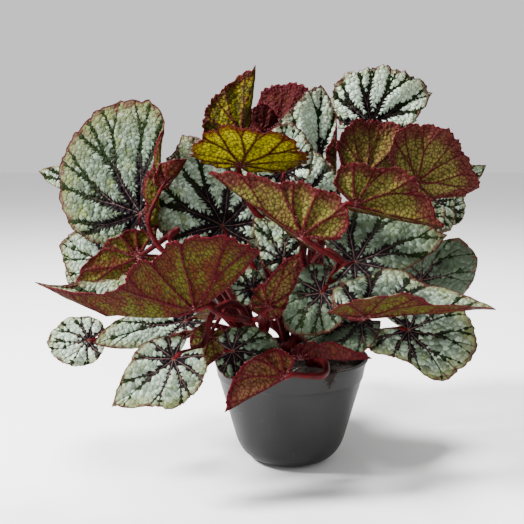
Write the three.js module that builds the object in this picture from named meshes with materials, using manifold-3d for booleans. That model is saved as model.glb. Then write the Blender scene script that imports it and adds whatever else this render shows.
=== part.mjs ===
// Potted rex begonia: a 13 cm nursery pot with soil, three crowns with leaf stalks, and the blades.
// Millimetres, +Z up. The origin is the middle of the pot's flat bottom, and the plant's front faces -Y.
import * as THREE from 'three';
import ManifoldModule from 'manifold-3d';

// Driving sizes.
const RIM_RADIUS = 65;
const POT_HEIGHT = 88;
const WALL_TOP_RADIUS = 62;
const BOTTOM_RADIUS = 40.4;
const FLAT_RADIUS = 22;
const CORNER_HEIGHT = 22;
const BAND_HEIGHT = 17;
const WALL = 2.2;
const POT_SIDES = 32;
const SOIL_TOP = 80;
const SOIL_GAP = 0.4;
const BLADE = 0.8;
const BIG_BLADE = 61;
const ROLL_TURN = 150;
const ROLL_RATE = 20;
const RINGS = { 2: [0.5, 1], 3: [0.36, 0.7, 1], 5: [0.25, 0.45, 0.62, 0.8, 1] };
const STALK_RADIUS = 2.4;
const STALK_SIDES = 5;
const STALK_RINGS = 5;
const STALK_GAP = 0.35;

// Colours.
const POT_GREY = 0x474642;
const SOIL_BROWN = 0x2a211b;
const STALK_RED = 0x8a2430;
const SILVER = 0xa3b39a;
const BURGUNDY = 0x6b1c2e;

const wasm = await ManifoldModule();
wasm.setup();
const { Manifold, Mesh } = wasm;

// Main veins as degrees from the midrib, left half positive, seen from the upper side with the tip up.
const VEINS = [-150, -112, -75, -38, 0, 38, 75, 112, 150];
const REACH = [0.46, 0.56, 0.66, 0.78, 1, 0.78, 0.66, 0.56, 0.46];

// Crowns: where each rhizome stands in the soil.
const CROWNS = [
  { name: 'crown_left', at: [-24, -6], radius: 9, top: 90 },
  { name: 'crown_right', at: [22, -10], radius: 9, top: 91 },
  { name: 'crown_back', at: [2, 26], radius: 9, top: 92 },
];

// Leaves, in millimetres and degrees. Left and right are seen from the upper side with the tip up.
// crown: the crown its stalk grows from; at: where the stalk meets the blade; tip: the blade's point;
// face: where the upper side looks; under: the front shows the underside, so the node has its colour.
// fold: how far each half rises; curl: how much further at the margin; arch: droop along the midrib;
// wide: sideways scale of each half; reach: length of each main vein against the midrib;
// point: how slender the tip is; pleat and wave: height of the folds between veins and of the margin.
// roll: distance from the midrib where a half's margin rolls over the upper side;
// rings: rows of facets from the base to the margin; stalk: its radius; into: the way it arrives;
// via: places that it passes, to keep clear of other leaves.
const LEAVES = [
  // seen in front, upper and left part of the plant
  { name: 'leaf_a', crown: 0, rings: 5, at: [-116, -50, 211], tip: [-108, -42, 294],
    face: [-0.25, -1, 0.1], point: 1, fold: [4, 10], curl: [-12, 0], roll: [0, 14.5], arch: 10,
    reach: [0.3, 0.34, 0.36, 0.52, 1, 1, 0.86, 0.62, 0.36] },
  { name: 'leaf_b', crown: 0, under: true, stalk: 1.7, at: [-95, -66, 235], tip: [-79, -62, 253],
    face: [-0.3, 1, 0.1], into: [0.3, 0.2, 0.9], fold: [60, 8],
    reach: [0.3, 0.36, 0.45, 0.62, 1, 0.6, 0.5, 0.4, 0.3], via: [[-40, -35, 112], [-80, -70, 165]] },
  { name: 'leaf_c', crown: 0, under: true, rings: 3, at: [-70, -125, 151], tip: [-185, -105, 168],
    face: [0, -0.1, 1], point: 2.6, fold: [74, 46], curl: [8, -20], arch: -60,
    reach: [0.3, 0.38, 0.4, 0.52, 1, 0.46, 0.38, 0.42, 0.54] },
  { name: 'leaf_d', crown: 0, rings: 3, at: [-156, -62, 115], tip: [-186, -70, 114],
    face: [-0.1, -1, 0.4], into: [-0.6, -0.7, 0.1], point: 1.2,
    reach: [0.5, 0.55, 0.62, 0.8, 1, 0.8, 0.62, 0.5, 0.42], via: [[-60, -26, 112], [-112, -42, 110]] },
  { name: 'leaf_e', crown: 0, rings: 3, at: [-86, -112, 114], tip: [-130, -116, 80],
    face: [-0.25, -1, 0.15], point: 2, reach: [0.3, 0.28, 0.38, 0.54, 1, 0.62, 0.54, 0.46, 0.42],
    via: [[-42, -48, 140], [-60, -84, 140]] },
  { name: 'leaf_e2', crown: 0, under: true, stalk: 1.7, at: [-63, -76, 121], tip: [-72, -78, 96],
    face: [0, 1, 0.3], into: [-0.5, -0.5, -0.7], reach: [0.4, 0.5, 0.62, 0.7, 1, 0.62, 0.5, 0.45, 0.4],
    via: [[-38, -42, 134], [-48, -60, 142]] },
  { name: 'leaf_f', crown: 0, stalk: 1.7, at: [-45, -102, 117], tip: [-9, -102, 116],
    face: [0, -1, 0.2], into: [0, -0.9, 0.35], point: 1.2,
    reach: [0.38, 0.48, 0.6, 0.7, 1, 0.72, 0.5, 0.42, 0.38], via: [[-34, -50, 114]] },
  { name: 'leaf_g', crown: 1, under: true, rings: 3, at: [-8, -116, 101], tip: [-51, -116, 76],
    face: [0, 1, 0.1], into: [-0.75, -0.6, 0.2], fold: [8, 75],
    reach: [0.3, 0.35, 0.4, 0.5, 1, 0.66, 0.48, 0.4, 0.3], via: [[25, -64, 97]] },
  { name: 'leaf_h', crown: 0, under: true, stalk: 1.7, at: [4, -90, 109], tip: [57, -90, 111],
    face: [0, 0.3, 1], into: [0.8, -0.1, 0.5], fold: [8, 60],
    reach: [0.14, 0.18, 0.22, 0.3, 1, 0.3, 0.22, 0.18, 0.14] },
  { name: 'leaf_i', crown: 2, under: true, rings: 3, at: [-41, -5, 271], tip: [-29, -10, 324],
    face: [0, 1, 0.1], into: [0.2, 0.45, 1], stalk: 1.9, fold: [75, 8],
    reach: [0.4, 0.5, 0.6, 0.66, 1, 0.45, 0.4, 0.35, 0.2] },
  { name: 'leaf_j', crown: 0, under: true, rings: 3, at: [-40, -52, 248], tip: [-24, -98, 274],
    face: [0, 0.6, 1], into: [-0.3, 0.3, 0.9], point: 1, wide: [1.25, 1.1],
    reach: [0.3, 0.5, 0.68, 0.8, 0.9, 0.8, 0.68, 0.5, 0.3], via: [[-12, -52, 190]] },
  { name: 'leaf_k', crown: 2, under: true, stalk: 1.7, at: [-10, 40, 276], tip: [11, 45, 311],
    face: [0.5, 1, 0.1], into: [0.1, 0, 1], point: 1,
    reach: [0.4, 0.5, 0.7, 0.95, 1, 0.95, 0.7, 0.5, 0.4] },
  { name: 'leaf_l', crown: 2, under: true, stalk: 1.7, at: [-24, 20, 273], tip: [-24, 20, 297],
    face: [0, 1, 0.1], into: [0, -0.3, 1] },
  { name: 'leaf_m', crown: 2, rings: 5, at: [22, 2, 232], tip: [24, 8, 309], face: [0.15, -1, 0.2],
    fold: [6, 10], curl: [-10, 0], roll: [0, 11],
    reach: [0.28, 0.3, 0.32, 0.5, 1, 0.76, 0.5, 0.38, 0.3] },
  { name: 'leaf_n', crown: 2, rings: 3, at: [64, 0, 279], tip: [114, 5, 304], face: [0.2, -1, 0.2],
    reach: [0.4, 0.42, 0.42, 0.5, 1, 0.84, 0.78, 0.72, 0.47] },
  { name: 'leaf_o1', crown: 1, under: true, at: [58, -29, 239], tip: [90, -18, 273],
    face: [-0.1, 1, 0.1], into: [0.3, -0.3, 0.9], reach: [0.4, 0.5, 0.8, 0.9, 1, 0.6, 0.46, 0.42, 0.4],
    via: [[36, -16, 150]] },
  { name: 'leaf_o2', crown: 1, under: true, rings: 3, at: [95, -35, 234], tip: [148, -22, 229],
    face: [-0.2, 1, 0.1], into: [0.75, -0.4, 0.65],
    reach: [0.5, 0.78, 0.82, 0.82, 1, 0.4, 0.35, 0.26, 0.12], via: [[44, -16, 150]] },
  { name: 'leaf_p', crown: 1, under: true, rings: 3, at: [43, -88, 220], tip: [106, -84, 204],
    face: [0, 1, 0.1], into: [0.6, -0.2, 0.7], fold: [75, 8],
    reach: [0.35, 0.46, 0.46, 0.69, 1, 0.55, 0.45, 0.4, 0.3], via: [[22, -42, 150], [20, -60, 196]] },
  { name: 'leaf_q', crown: 1, under: true, rings: 3, at: [3, -116, 201], tip: [-58, -104, 242],
    face: [0, 1, 0.1], into: [-0.8, -0.3, 0.5], fold: [6, 75],
    reach: [0.3, 0.35, 0.38, 0.4, 1, 0.52, 0.45, 0.5, 0.35],
    via: [[14, -42, 150], [16, -62, 176], [24, -92, 188]] },
  { name: 'leaf_r', crown: 0, rings: 3, at: [-54, -46, 201], tip: [-86, -22, 270], face: [0, -1, 0.4],
    reach: [0.3, 0.38, 0.48, 0.7, 1, 0.72, 0.58, 0.38, 0.28] },
  { name: 'leaf_s', crown: 1, at: [3, -24, 216], tip: [-66, -14, 242], face: [0, -1, 0.4] },
  { name: 'leaf_t1', crown: 0, stalk: 1.7, at: [-8, -84, 181], tip: [-30, -80, 210],
    face: [0.2, -1, 0.2], into: [0.45, -0.3, 0.85],
    reach: [0.25, 0.3, 0.48, 0.7, 1, 0.52, 0.4, 0.35, 0.3], via: [[-22, -50, 130]] },
  { name: 'leaf_t2', crown: 0, under: true, at: [-20, -106, 150], tip: [5, -102, 190],
    face: [-0.2, 1, 0.1], into: [0.1, -0.9, 0.4],
    reach: [0.2, 0.24, 0.28, 0.36, 1, 0.36, 0.28, 0.24, 0.2] },
  { name: 'leaf_u', crown: 1, at: [20, -78, 155], tip: [-3, -88, 127], face: [0, -1, 0.3],
    reach: [0.55, 0.6, 0.6, 0.88, 1, 0.82, 0.66, 0.5, 0.43] },
  { name: 'leaf_v', crown: 1, rings: 3, at: [46, -60, 175], tip: [117, -44, 193],
    face: [0.1, -0.75, 0.65], reach: [0.3, 0.3, 0.32, 0.42, 1, 0.75, 0.66, 0.46, 0.22] },
  { name: 'leaf_w', crown: 1, rings: 3, at: [48, -110, 143], tip: [143, -100, 146], face: [0, -0.1, 1],
    fold: [32, 38], reach: [0.35, 0.4, 0.45, 0.5, 1, 0.58, 0.46, 0.36, 0.25], into: [0, -1, 0.05],
    via: [[38, -28, 130], [47, -54, 152]] },
  { name: 'leaf_x', crown: 1, stalk: 1.7, at: [106, -5, 152], tip: [141, 4, 186],
    face: [0.5, -0.9, 0.2], wide: [1.1, 1], reach: [0.4, 0.5, 0.75, 1, 1, 0.5, 0.4, 0.36, 0.3] },
  { name: 'leaf_y', crown: 1, rings: 3, at: [85, -75, 126], tip: [134, -80, 114], face: [0.25, -1, 0.4],
    point: 1, reach: [0.72, 0.5, 0.5, 0.9, 1, 0.86, 0.52, 0.4, 0.4], via: [[46, -24, 108]] },
  { name: 'leaf_z', crown: 1, at: [51, -68, 131], tip: [5, -72, 120], face: [0, -0.6, 0.8],
    reach: [0.3, 0.32, 0.36, 0.42, 1, 0.74, 0.6, 0.42, 0.3] },
  { name: 'leaf_aa', crown: 0, stalk: 1.7, at: [-142, -30, 171], tip: [-185, -20, 182],
    face: [-0.3, -1, 0.4] },
  { name: 'leaf_ab', crown: 0, under: true, at: [-115, -68, 181], tip: [-168, -56, 151],
    face: [0, 1, 0.2], into: [-0.8, -0.1, -0.55], point: 1.2,
    reach: [0.32, 0.4, 0.45, 0.55, 1, 0.45, 0.34, 0.32, 0.3], via: [[-60, -50, 150], [-92, -70, 196]] },
  { name: 'leaf_ac', crown: 0, stalk: 1.7, at: [-154, -20, 156], tip: [-184, -10, 164],
    face: [-0.6, -0.8, 0.3] },
  { name: 'leaf_ad', crown: 0, stalk: 1.7, at: [-178, 20, 232], tip: [-213, 26, 240],
    face: [-0.6, -0.8, 0.2], reach: [0.2, 0.3, 0.4, 0.45, 1, 0.45, 0.4, 0.3, 0.2] },
  { name: 'leaf_ae', crown: 1, stalk: 1.7, at: [136, 30, 224], tip: [168, 36, 245],
    face: [0.6, -0.8, 0.3], reach: [0.3, 0.34, 0.34, 0.36, 1, 0.5, 0.45, 0.4, 0.3] },
  { name: 'leaf_af', crown: 1, stalk: 1.7, at: [111, 5, 218], tip: [131, 4, 192], face: [0.2, -1, 0.2],
    into: [0.7, -0.6, 0.2], reach: [0.3, 0.4, 0.6, 0.85, 1, 0.8, 0.6, 0.5, 0.3] },
  { name: 'leaf_ah', crown: 1, stalk: 1.7, at: [95, -14, 197], tip: [124, -8, 210],
    face: [0, -1, 0.3] },
  // the back of the plant, which the photograph doesn't show
  { name: 'leaf_back_1', crown: 2, at: [-62, 58, 214], tip: [-88, 112, 192], face: [-0.3, 0.8, 0.6],
    arch: 30 },
  { name: 'leaf_back_2', crown: 2, at: [18, 72, 226], tip: [28, 138, 208], face: [0, 0.8, 0.6],
    arch: 30 },
  { name: 'leaf_back_3', crown: 2, at: [82, 58, 208], tip: [126, 98, 186], face: [0.5, 0.7, 0.6],
    arch: 30 },
  { name: 'leaf_back_4', crown: 2, at: [-98, 52, 152], tip: [-154, 84, 134], face: [-0.5, 0.6, 0.7],
    arch: 30 },
  { name: 'leaf_back_5', crown: 2, at: [-33, 92, 156], tip: [-50, 156, 134], face: [-0.1, 0.8, 0.6],
    arch: 30 },
  { name: 'leaf_back_6', crown: 2, at: [53, 90, 154], tip: [80, 148, 132], face: [0.3, 0.8, 0.6],
    arch: 30 },
  { name: 'leaf_back_7', crown: 1, at: [100, 52, 146], tip: [156, 78, 128], face: [0.5, 0.5, 0.7],
    arch: 30 },
  { name: 'leaf_back_8', crown: 2, at: [-58, 70, 116], tip: [-86, 108, 92], face: [-0.4, 0.8, 0.5],
    arch: 20 },
  { name: 'leaf_side_1', crown: 0, at: [-86, 46, 178], tip: [-136, 64, 184], face: [-0.4, 0.1, 0.9],
    reach: [0.4, 0.45, 0.5, 0.6, 1, 0.6, 0.5, 0.45, 0.4] },
  { name: 'leaf_side_2', crown: 1, at: [84, 51, 178], tip: [132, 63, 172], face: [0.4, 0.1, 0.9],
    reach: [0.4, 0.45, 0.5, 0.6, 1, 0.6, 0.5, 0.45, 0.4] },
  { name: 'leaf_back_9', crown: 2, at: [14, 84, 112], tip: [22, 124, 86], face: [0.1, 0.8, 0.5],
    arch: 20 },
  { name: 'leaf_d2', crown: 0, at: [-83, -56, 129], tip: [-148, -82, 117], face: [0, -0.8, 0.6],
    point: 1.4, roll: [12, 0], reach: [0.22, 0.26, 0.33, 0.42, 1, 0.36, 0.3, 0.24, 0.22] },
  { name: 'leaf_m2', crown: 1, at: [-7, -30, 242], tip: [-5, -33, 280], face: [0, -1, 0.2],
    into: [0, 0.35, 0.95], point: 1.1, reach: [0.36, 0.46, 0.6, 0.78, 1, 0.78, 0.6, 0.46, 0.36],
    via: [[14, -40, 150], [2, -48, 194], [-4, -40, 214]] },
  { name: 'leaf_c2', crown: 0, stalk: 1.7, at: [-31, -98, 161], tip: [-48, -100, 171],
    face: [0, -1, 0.5], point: 1.2, via: [[-30, -60, 130]] },
  { name: 'leaf_ag', crown: 1, stalk: 1.7, at: [131, 18, 205], tip: [145, 22, 219],
    face: [0.3, -1, 0.2] },
  { name: 'leaf_in_1', crown: 2, stalk: 1.7, at: [-36, 47, 133], tip: [-50, 51, 182],
    face: [0, -1, 0.3] },
  { name: 'leaf_in_2', crown: 2, stalk: 1.7, at: [46, 48, 136], tip: [54, 52, 184],
    face: [0.1, -1, 0.3] },
];

function hash(a, b) {
  const s = Math.sin(a * 127.1 + b * 311.7) * 43758.5453;
  return s - Math.floor(s);
}

function mix(a, b, t) {
  return a + (b - a) * t;
}

// Smooth value between b, at t = 0, and c, at t = 1, with their neighbours a and d.
function smooth(a, b, c, d, t) {
  return b + 0.5 * t * (c - a + t * (2 * a - 5 * b + 4 * c - d + t * (3 * (b - c) + d - a)));
}

// Place of the angle between two main veins: index of the first and the share of the way to the next.
function between(phi) {
  for (let k = 0; k < VEINS.length - 1; k += 1) {
    if (phi >= VEINS[k] && phi <= VEINS[k + 1]) {
      return { k, t: (phi - VEINS[k]) / (VEINS[k + 1] - VEINS[k]) };
    }
  }
  return { k: -1, t: (Math.abs(phi) - VEINS[VEINS.length - 1]) / (180 - VEINS[VEINS.length - 1]) };
}

// Margin radius against the midrib length, for an angle in degrees.
function marginRadius(leaf, phi) {
  const reach = leaf.reach || REACH;
  const { k, t } = between(phi);
  const wobble = 1 + 0.016 * Math.sin(5 * phi * Math.PI / 180 + 6.28 * hash(leaf.seed, 1))
    + 0.012 * Math.sin(9 * phi * Math.PI / 180 + 6.28 * hash(leaf.seed, 2));
  if (k < 0) {
    const end = phi > 0 ? reach[reach.length - 1] : reach[0];
    const notch = Math.max(0.07, 3.4 / leaf.length);
    const closing = Math.min(1, 2.1 * t);
    return mix(end, notch, Math.sin(closing * Math.PI / 2)) * mix(wobble, 1, closing);
  }
  const point = leaf.point ?? 1.6;
  let radius;
  if (VEINS[k] === 0) {
    radius = mix(reach[k], reach[k + 1], 1 - (1 - t) ** point);
  } else if (VEINS[k + 1] === 0) {
    radius = mix(reach[k], reach[k + 1], t ** point);
  } else {
    const before = k === 0 || VEINS[k - 1] === 0 ? reach[k] : reach[k - 1];
    const after = k === VEINS.length - 2 || VEINS[k + 2] === 0 ? reach[k + 1] : reach[k + 2];
    radius = smooth(before, reach[k], reach[k + 1], after, t);
  }
  return radius * (1 + 0.02 * Math.sin(Math.PI * t)) * wobble;
}

// Sideways position and height of a point at distance s from the midrib, on a half that folds and curls,
// and whose margin rolls over the upper side from the distance roll on.
function sideways(s, width, fold, curl, roll) {
  const steps = 24;
  const pos = { out: 0, up: 0 };
  for (let i = 0; i < steps; i += 1) {
    const here = (i + 0.5) / steps * s;
    const turn = roll > 0 ? Math.min(ROLL_TURN, Math.max(0, here - roll) * ROLL_RATE) : 0;
    const angle = THREE.MathUtils.degToRad(fold + curl * (here / width) ** 2 + turn);
    pos.out += Math.cos(angle) * s / steps;
    pos.up += Math.sin(angle) * s / steps;
  }
  return pos;
}

// Frame of a blade: length, first tangent, normal and left side, so that the bent midrib ends at the tip.
function bladeFrame(leaf) {
  const at = new THREE.Vector3(...leaf.at);
  const chord = new THREE.Vector3(...leaf.tip).sub(at);
  const arch = THREE.MathUtils.degToRad(leaf.arch || 0.1);
  const length = chord.length() * (arch / 2) / Math.sin(arch / 2);
  chord.normalize();
  const face = new THREE.Vector3(...leaf.face);
  const normal = face.clone().addScaledVector(chord, -chord.dot(face)).normalize();
  const side = new THREE.Vector3().crossVectors(normal, chord);
  const cos = Math.cos(arch / 2);
  const sin = Math.sin(arch / 2);
  const tangent = chord.clone().multiplyScalar(cos).addScaledVector(normal, sin);
  const up = normal.clone().multiplyScalar(cos).addScaledVector(chord, -sin);
  return { at, length, arch, tangent, up, side };
}

// A point of the blade's middle surface for an angle in degrees and a share of the way to the margin.
function bladePoint(leaf, frame, phi, rho) {
  const a = phi * Math.PI / 180;
  const half = phi >= 0 ? 0 : 1;
  const wide = (leaf.wide || [1, 1])[half];
  const r = marginRadius(leaf, phi) * frame.length * rho;
  const u = r * Math.cos(a);
  const v = Math.abs(r * Math.sin(a)) * wide;
  const width = 0.7 * frame.length * wide;
  const fold = (leaf.fold || [8, 8])[half];
  const curl = (leaf.curl || [-20, -20])[half];
  const pos = sideways(v, width, fold, curl, (leaf.roll || [0, 0])[half]);
  const { k, t } = between(phi);
  const pleat = (leaf.pleat ?? 2) * rho * (1.2 - rho) * (k < 0 ? 0 : Math.sin(Math.PI * t) ** 2);
  const far = Math.min(1, r / (0.55 * frame.length));
  const wave = (leaf.wave ?? 2.2) * far * far * (Math.sin(3 * a + 6.28 * hash(leaf.seed, 3))
    + 0.7 * Math.sin(6 * a + 6.28 * hash(leaf.seed, 4)));
  const turn = frame.arch / frame.length * (u < 0 ? 0.2 : 1);
  const bend = turn * u;
  const along = Math.sin(bend) / turn;
  const drop = (1 - Math.cos(bend)) / turn;
  const lift = pos.up + pleat + wave;
  return frame.at.clone()
    .addScaledVector(frame.tangent, along + lift * Math.sin(bend))
    .addScaledVector(frame.up, -drop + lift * Math.cos(bend))
    .addScaledVector(frame.side, (phi >= 0 ? 1 : -1) * pos.out);
}

// Angles of the spokes of a blade, from -180 up to but not with 180 degrees.
function spokeAngles(cuts) {
  const angles = [-180, -165];
  for (let k = 0; k < VEINS.length - 1; k += 1) {
    const parts = k === 0 || k === VEINS.length - 2 ? 2 : cuts;
    for (let i = 0; i < parts; i += 1) {
      angles.push(mix(VEINS[k], VEINS[k + 1], i / parts));
    }
  }
  angles.push(150, 165);
  return angles;
}

// A closed blade: a middle surface of spokes and rings, offset to both sides and joined along the margin.
function bladeGeometry(leaf) {
  const frame = bladeFrame(leaf);
  leaf.length = frame.length;
  const big = frame.length > BIG_BLADE;
  const rings = RINGS[leaf.rings ?? 2];
  const angles = spokeAngles(big ? 3 : 2);
  const count = angles.length;
  const middle = [bladePoint(leaf, frame, 0, 0)];
  for (const rho of rings) {
    for (const phi of angles) {
      middle.push(bladePoint(leaf, frame, phi, rho));
    }
  }
  const faces = [];
  for (let i = 0; i < count; i += 1) {
    const j = (i + 1) % count;
    faces.push([0, 1 + i, 1 + j]);
    for (let ring = 0; ring < rings.length - 1; ring += 1) {
      const a = 1 + ring * count;
      const b = a + count;
      faces.push([a + i, b + j, a + j]);
      faces.push([a + i, b + i, b + j]);
    }
  }
  const normals = middle.map(() => new THREE.Vector3());
  for (const [a, b, c] of faces) {
    const n = new THREE.Vector3().crossVectors(
      middle[b].clone().sub(middle[a]),
      middle[c].clone().sub(middle[a]),
    );
    normals[a].add(n);
    normals[b].add(n);
    normals[c].add(n);
  }
  const positions = [];
  for (const side of [0.5, -0.5]) {
    middle.forEach((p, i) => {
      const q = p.clone().addScaledVector(normals[i].clone().normalize(), side * BLADE);
      positions.push(q.x, q.y, q.z);
    });
  }
  const under = middle.length;
  const index = [];
  for (const [a, b, c] of faces) {
    index.push(a, b, c, under + a, under + c, under + b);
  }
  const margin = 1 + (rings.length - 1) * count;
  for (let i = 0; i < count; i += 1) {
    const a = margin + i;
    const b = margin + (i + 1) % count;
    index.push(a, under + a, under + b, a, under + b, b);
  }
  return solid(positions, index);
}

function solid(positions, index) {
  const geometry = new THREE.BufferGeometry();
  geometry.setAttribute('position', new THREE.Float32BufferAttribute(positions, 3));
  geometry.setIndex(index);
  return geometry;
}

// The way of a leaf stalk: up out of the crown, over to the leaf, and into the notch at the blade's base.
function stalkPath(leaf, crown) {
  const frame = bladeFrame(leaf);
  const into = new THREE.Vector3(0, 0, 0.35);
  if (leaf.into) {
    into.set(...leaf.into);
  } else {
    into.addScaledVector(frame.tangent, 0.55).addScaledVector(frame.up, 0.6);
    into.addScaledVector(frame.side, -0.85 * into.dot(frame.side));
  }
  into.normalize();
  const tipRadius = (leaf.stalk ?? STALK_RADIUS) * 0.75;
  const slant = Math.sqrt(Math.max(0, 1 - into.dot(frame.tangent) ** 2));
  const notch = marginRadius({ ...leaf, length: frame.length }, 180) * frame.length;
  const back = notch + STALK_GAP + tipRadius * slant;
  const end = frame.at.clone().addScaledVector(frame.tangent, -back);
  const start = new THREE.Vector3(crown.at[0], crown.at[1], crown.top - 4);
  const way = end.clone().sub(start);
  const flat = new THREE.Vector3(way.x, way.y, 0).normalize();
  start.addScaledVector(flat, crown.radius * 0.5);
  const reach = way.length();
  const first = start.clone().addScaledVector(flat, 0.12 * reach);
  first.z += 0.4 * reach;
  const last = end.clone().addScaledVector(into, -Math.min(0.28 * reach, 30));
  if (leaf.via) {
    const points = [start, ...leaf.via.map((p) => new THREE.Vector3(...p)), last, end];
    return new THREE.CatmullRomCurve3(points);
  }
  return new THREE.CubicBezierCurve3(start, first, last, end);
}

// A round tapering stalk along a curve, closed at both ends.
function tube(curve, radiusAt, rings, sides) {
  const positions = [];
  const index = [];
  const frames = curve.computeFrenetFrames(rings, false);
  for (let i = 0; i <= rings; i += 1) {
    const centre = curve.getPointAt(i / rings);
    const r = radiusAt(i / rings);
    for (let j = 0; j < sides; j += 1) {
      const a = j / sides * 2 * Math.PI;
      const p = centre.clone()
        .addScaledVector(frames.normals[i], Math.cos(a) * r)
        .addScaledVector(frames.binormals[i], Math.sin(a) * r);
      positions.push(p.x, p.y, p.z);
    }
  }
  for (let i = 0; i < rings; i += 1) {
    for (let j = 0; j < sides; j += 1) {
      const k = (j + 1) % sides;
      const a = i * sides;
      const b = a + sides;
      index.push(a + j, a + k, b + k, a + j, b + k, b + j);
    }
  }
  for (let j = 1; j < sides - 1; j += 1) {
    const b = rings * sides;
    index.push(0, j + 1, j, b, b + j, b + j + 1);
  }
  return solid(positions, index);
}

function toManifold(geometry) {
  const flat = geometry.index ? geometry : geometry.toNonIndexed();
  const mesh = new Mesh({
    numProp: 3,
    vertProperties: new Float32Array(flat.attributes.position.array),
    triVerts: new Uint32Array(flat.index.array),
  });
  mesh.merge();
  return new Manifold(mesh);
}

function fromManifold(manifold) {
  const mesh = manifold.getMesh();
  return solid(Array.from(mesh.vertProperties), Array.from(mesh.triVerts));
}

// A rhizome: a knobbly stub that stands in the soil, wider where the stalks leave it.
function rhizomeGeometry(crown) {
  const profile = [
    [0, 56],
    [crown.radius * 0.8, 58],
    [crown.radius, 66],
    [crown.radius, crown.top - 8],
    [crown.radius * 1.15, crown.top - 3],
    [crown.radius * 0.9, crown.top + 2],
    [0, crown.top + 5],
  ];
  const points = profile.map(([r, z]) => new THREE.Vector2(r, z));
  const geometry = turned(points, 12);
  geometry.translate(crown.at[0], crown.at[1], 0);
  return geometry;
}

// A closed body turned about the Z axis, from a profile that starts and ends on the axis.
function turned(points, sides) {
  const positions = [];
  const index = [];
  const rows = points.map((p) => {
    if (p.x < 1e-9) {
      positions.push(0, 0, p.y);
      return [positions.length / 3 - 1];
    }
    const row = [];
    for (let j = 0; j < sides; j += 1) {
      const a = j / sides * 2 * Math.PI;
      positions.push(p.x * Math.cos(a), p.x * Math.sin(a), p.y);
      row.push(positions.length / 3 - 1);
    }
    return row;
  });
  for (let i = 0; i < rows.length - 1; i += 1) {
    const a = rows[i];
    const b = rows[i + 1];
    for (let j = 0; j < sides; j += 1) {
      const k = (j + 1) % sides;
      if (a.length === 1) {
        index.push(a[0], b[k], b[j]);
      } else if (b.length === 1) {
        index.push(a[j], a[k], b[0]);
      } else {
        index.push(a[j], a[k], b[k], a[j], b[k], b[j]);
      }
    }
  }
  return solid(positions, index);
}

// Outer wall radius of the pot at a height above its rounded corner.
function wallRadius(z) {
  return mix(BOTTOM_RADIUS, WALL_TOP_RADIUS, z / (POT_HEIGHT - 10));
}

// A point of the rounded corner between the flat bottom (t = 0) and the wall (t = 1).
function cornerPoint(t) {
  const top = wallRadius(CORNER_HEIGHT);
  const r = (1 - t) ** 2 * FLAT_RADIUS + 2 * t * (1 - t) * BOTTOM_RADIUS + t * t * top;
  return [r, t * t * CORNER_HEIGHT];
}

function potGeometry() {
  const outer = [[0, 0], [FLAT_RADIUS, 0]];
  for (const t of [0.2, 0.4, 0.6, 0.8, 1]) {
    outer.push(cornerPoint(t));
  }
  const band = POT_HEIGHT - BAND_HEIGHT;
  outer.push([wallRadius(band), band]);
  outer.push([wallRadius(band) + 0.9, band + 0.9]);
  outer.push([WALL_TOP_RADIUS + 0.9, POT_HEIGHT - 6]);
  outer.push([RIM_RADIUS - 0.4, POT_HEIGHT - 2]);
  outer.push([RIM_RADIUS, POT_HEIGHT - 0.8]);
  outer.push([RIM_RADIUS - 0.6, POT_HEIGHT]);
  const inner = [
    [RIM_RADIUS - 2.4, POT_HEIGHT],
    [WALL_TOP_RADIUS - 1.6, POT_HEIGHT - 6],
    [wallRadius(band) - WALL, band],
    [wallRadius(CORNER_HEIGHT) - WALL, CORNER_HEIGHT],
    [cornerPoint(0.6)[0] - 1.8, cornerPoint(0.6)[1] + 1.6],
    [FLAT_RADIUS + 2, WALL],
    [0, WALL],
  ];
  return turned([...outer, ...inner].map(([r, z]) => new THREE.Vector2(r, z)), POT_SIDES);
}

// Soil: fills the pot with a small gap, lumpy on top.
function soilGeometry() {
  const band = POT_HEIGHT - BAND_HEIGHT;
  const sides = 24;
  const profile = [
    [0, WALL + SOIL_GAP],
    [FLAT_RADIUS + 1.5, WALL + SOIL_GAP],
    [cornerPoint(0.6)[0] - 2.6, cornerPoint(0.6)[1] + 2],
    [wallRadius(CORNER_HEIGHT) - WALL - 0.7, CORNER_HEIGHT],
    [wallRadius(band) - WALL - 0.7, band],
    [wallRadius(SOIL_TOP - 3) - 2.9, SOIL_TOP - 3],
    [50, SOIL_TOP - 0.5],
    [38, SOIL_TOP + 0.8],
    [24, SOIL_TOP + 1.4],
    [10, SOIL_TOP + 1.8],
    [0, SOIL_TOP + 2],
  ];
  const geometry = turned(profile.map(([r, z]) => new THREE.Vector2(r, z)), sides);
  const p = geometry.attributes.position;
  for (let i = 0; i < p.count; i += 1) {
    const r = Math.hypot(p.getX(i), p.getY(i));
    if (p.getZ(i) > SOIL_TOP - 2 && r < 52) {
      p.setZ(i, p.getZ(i) + 2.2 * (hash(i, 5) - 0.5));
    }
  }
  let body = toManifold(geometry);
  for (const crown of CROWNS) {
    const hole = turned([
      [0, 55.4], [crown.radius + 0.5, 55.4], [crown.radius + 0.5, 95], [0, 95],
    ].map(([r, z]) => new THREE.Vector2(r, z)), 12);
    hole.translate(crown.at[0], crown.at[1], 0);
    body = body.subtract(toManifold(hole));
  }
  return fromManifold(body);
}

function crownGeometry(crown, number) {
  let body = toManifold(rhizomeGeometry(crown));
  for (const leaf of LEAVES.filter((l) => l.crown === number)) {
    const radius = leaf.stalk ?? STALK_RADIUS;
    const taper = (t) => mix(radius * 1.3, radius * 0.75, t);
    const stalk = tube(stalkPath(leaf, crown), taper, STALK_RINGS, STALK_SIDES);
    body = body.add(toManifold(stalk));
  }
  return fromManifold(body);
}

const plant = new THREE.Group();
plant.name = 'potted_rex_begonia';

function add(name, geometry, color, roughness) {
  const material = new THREE.MeshStandardMaterial({ color, roughness, metalness: 0 });
  const mesh = new THREE.Mesh(geometry, material);
  mesh.name = name;
  plant.add(mesh);
}

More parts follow.
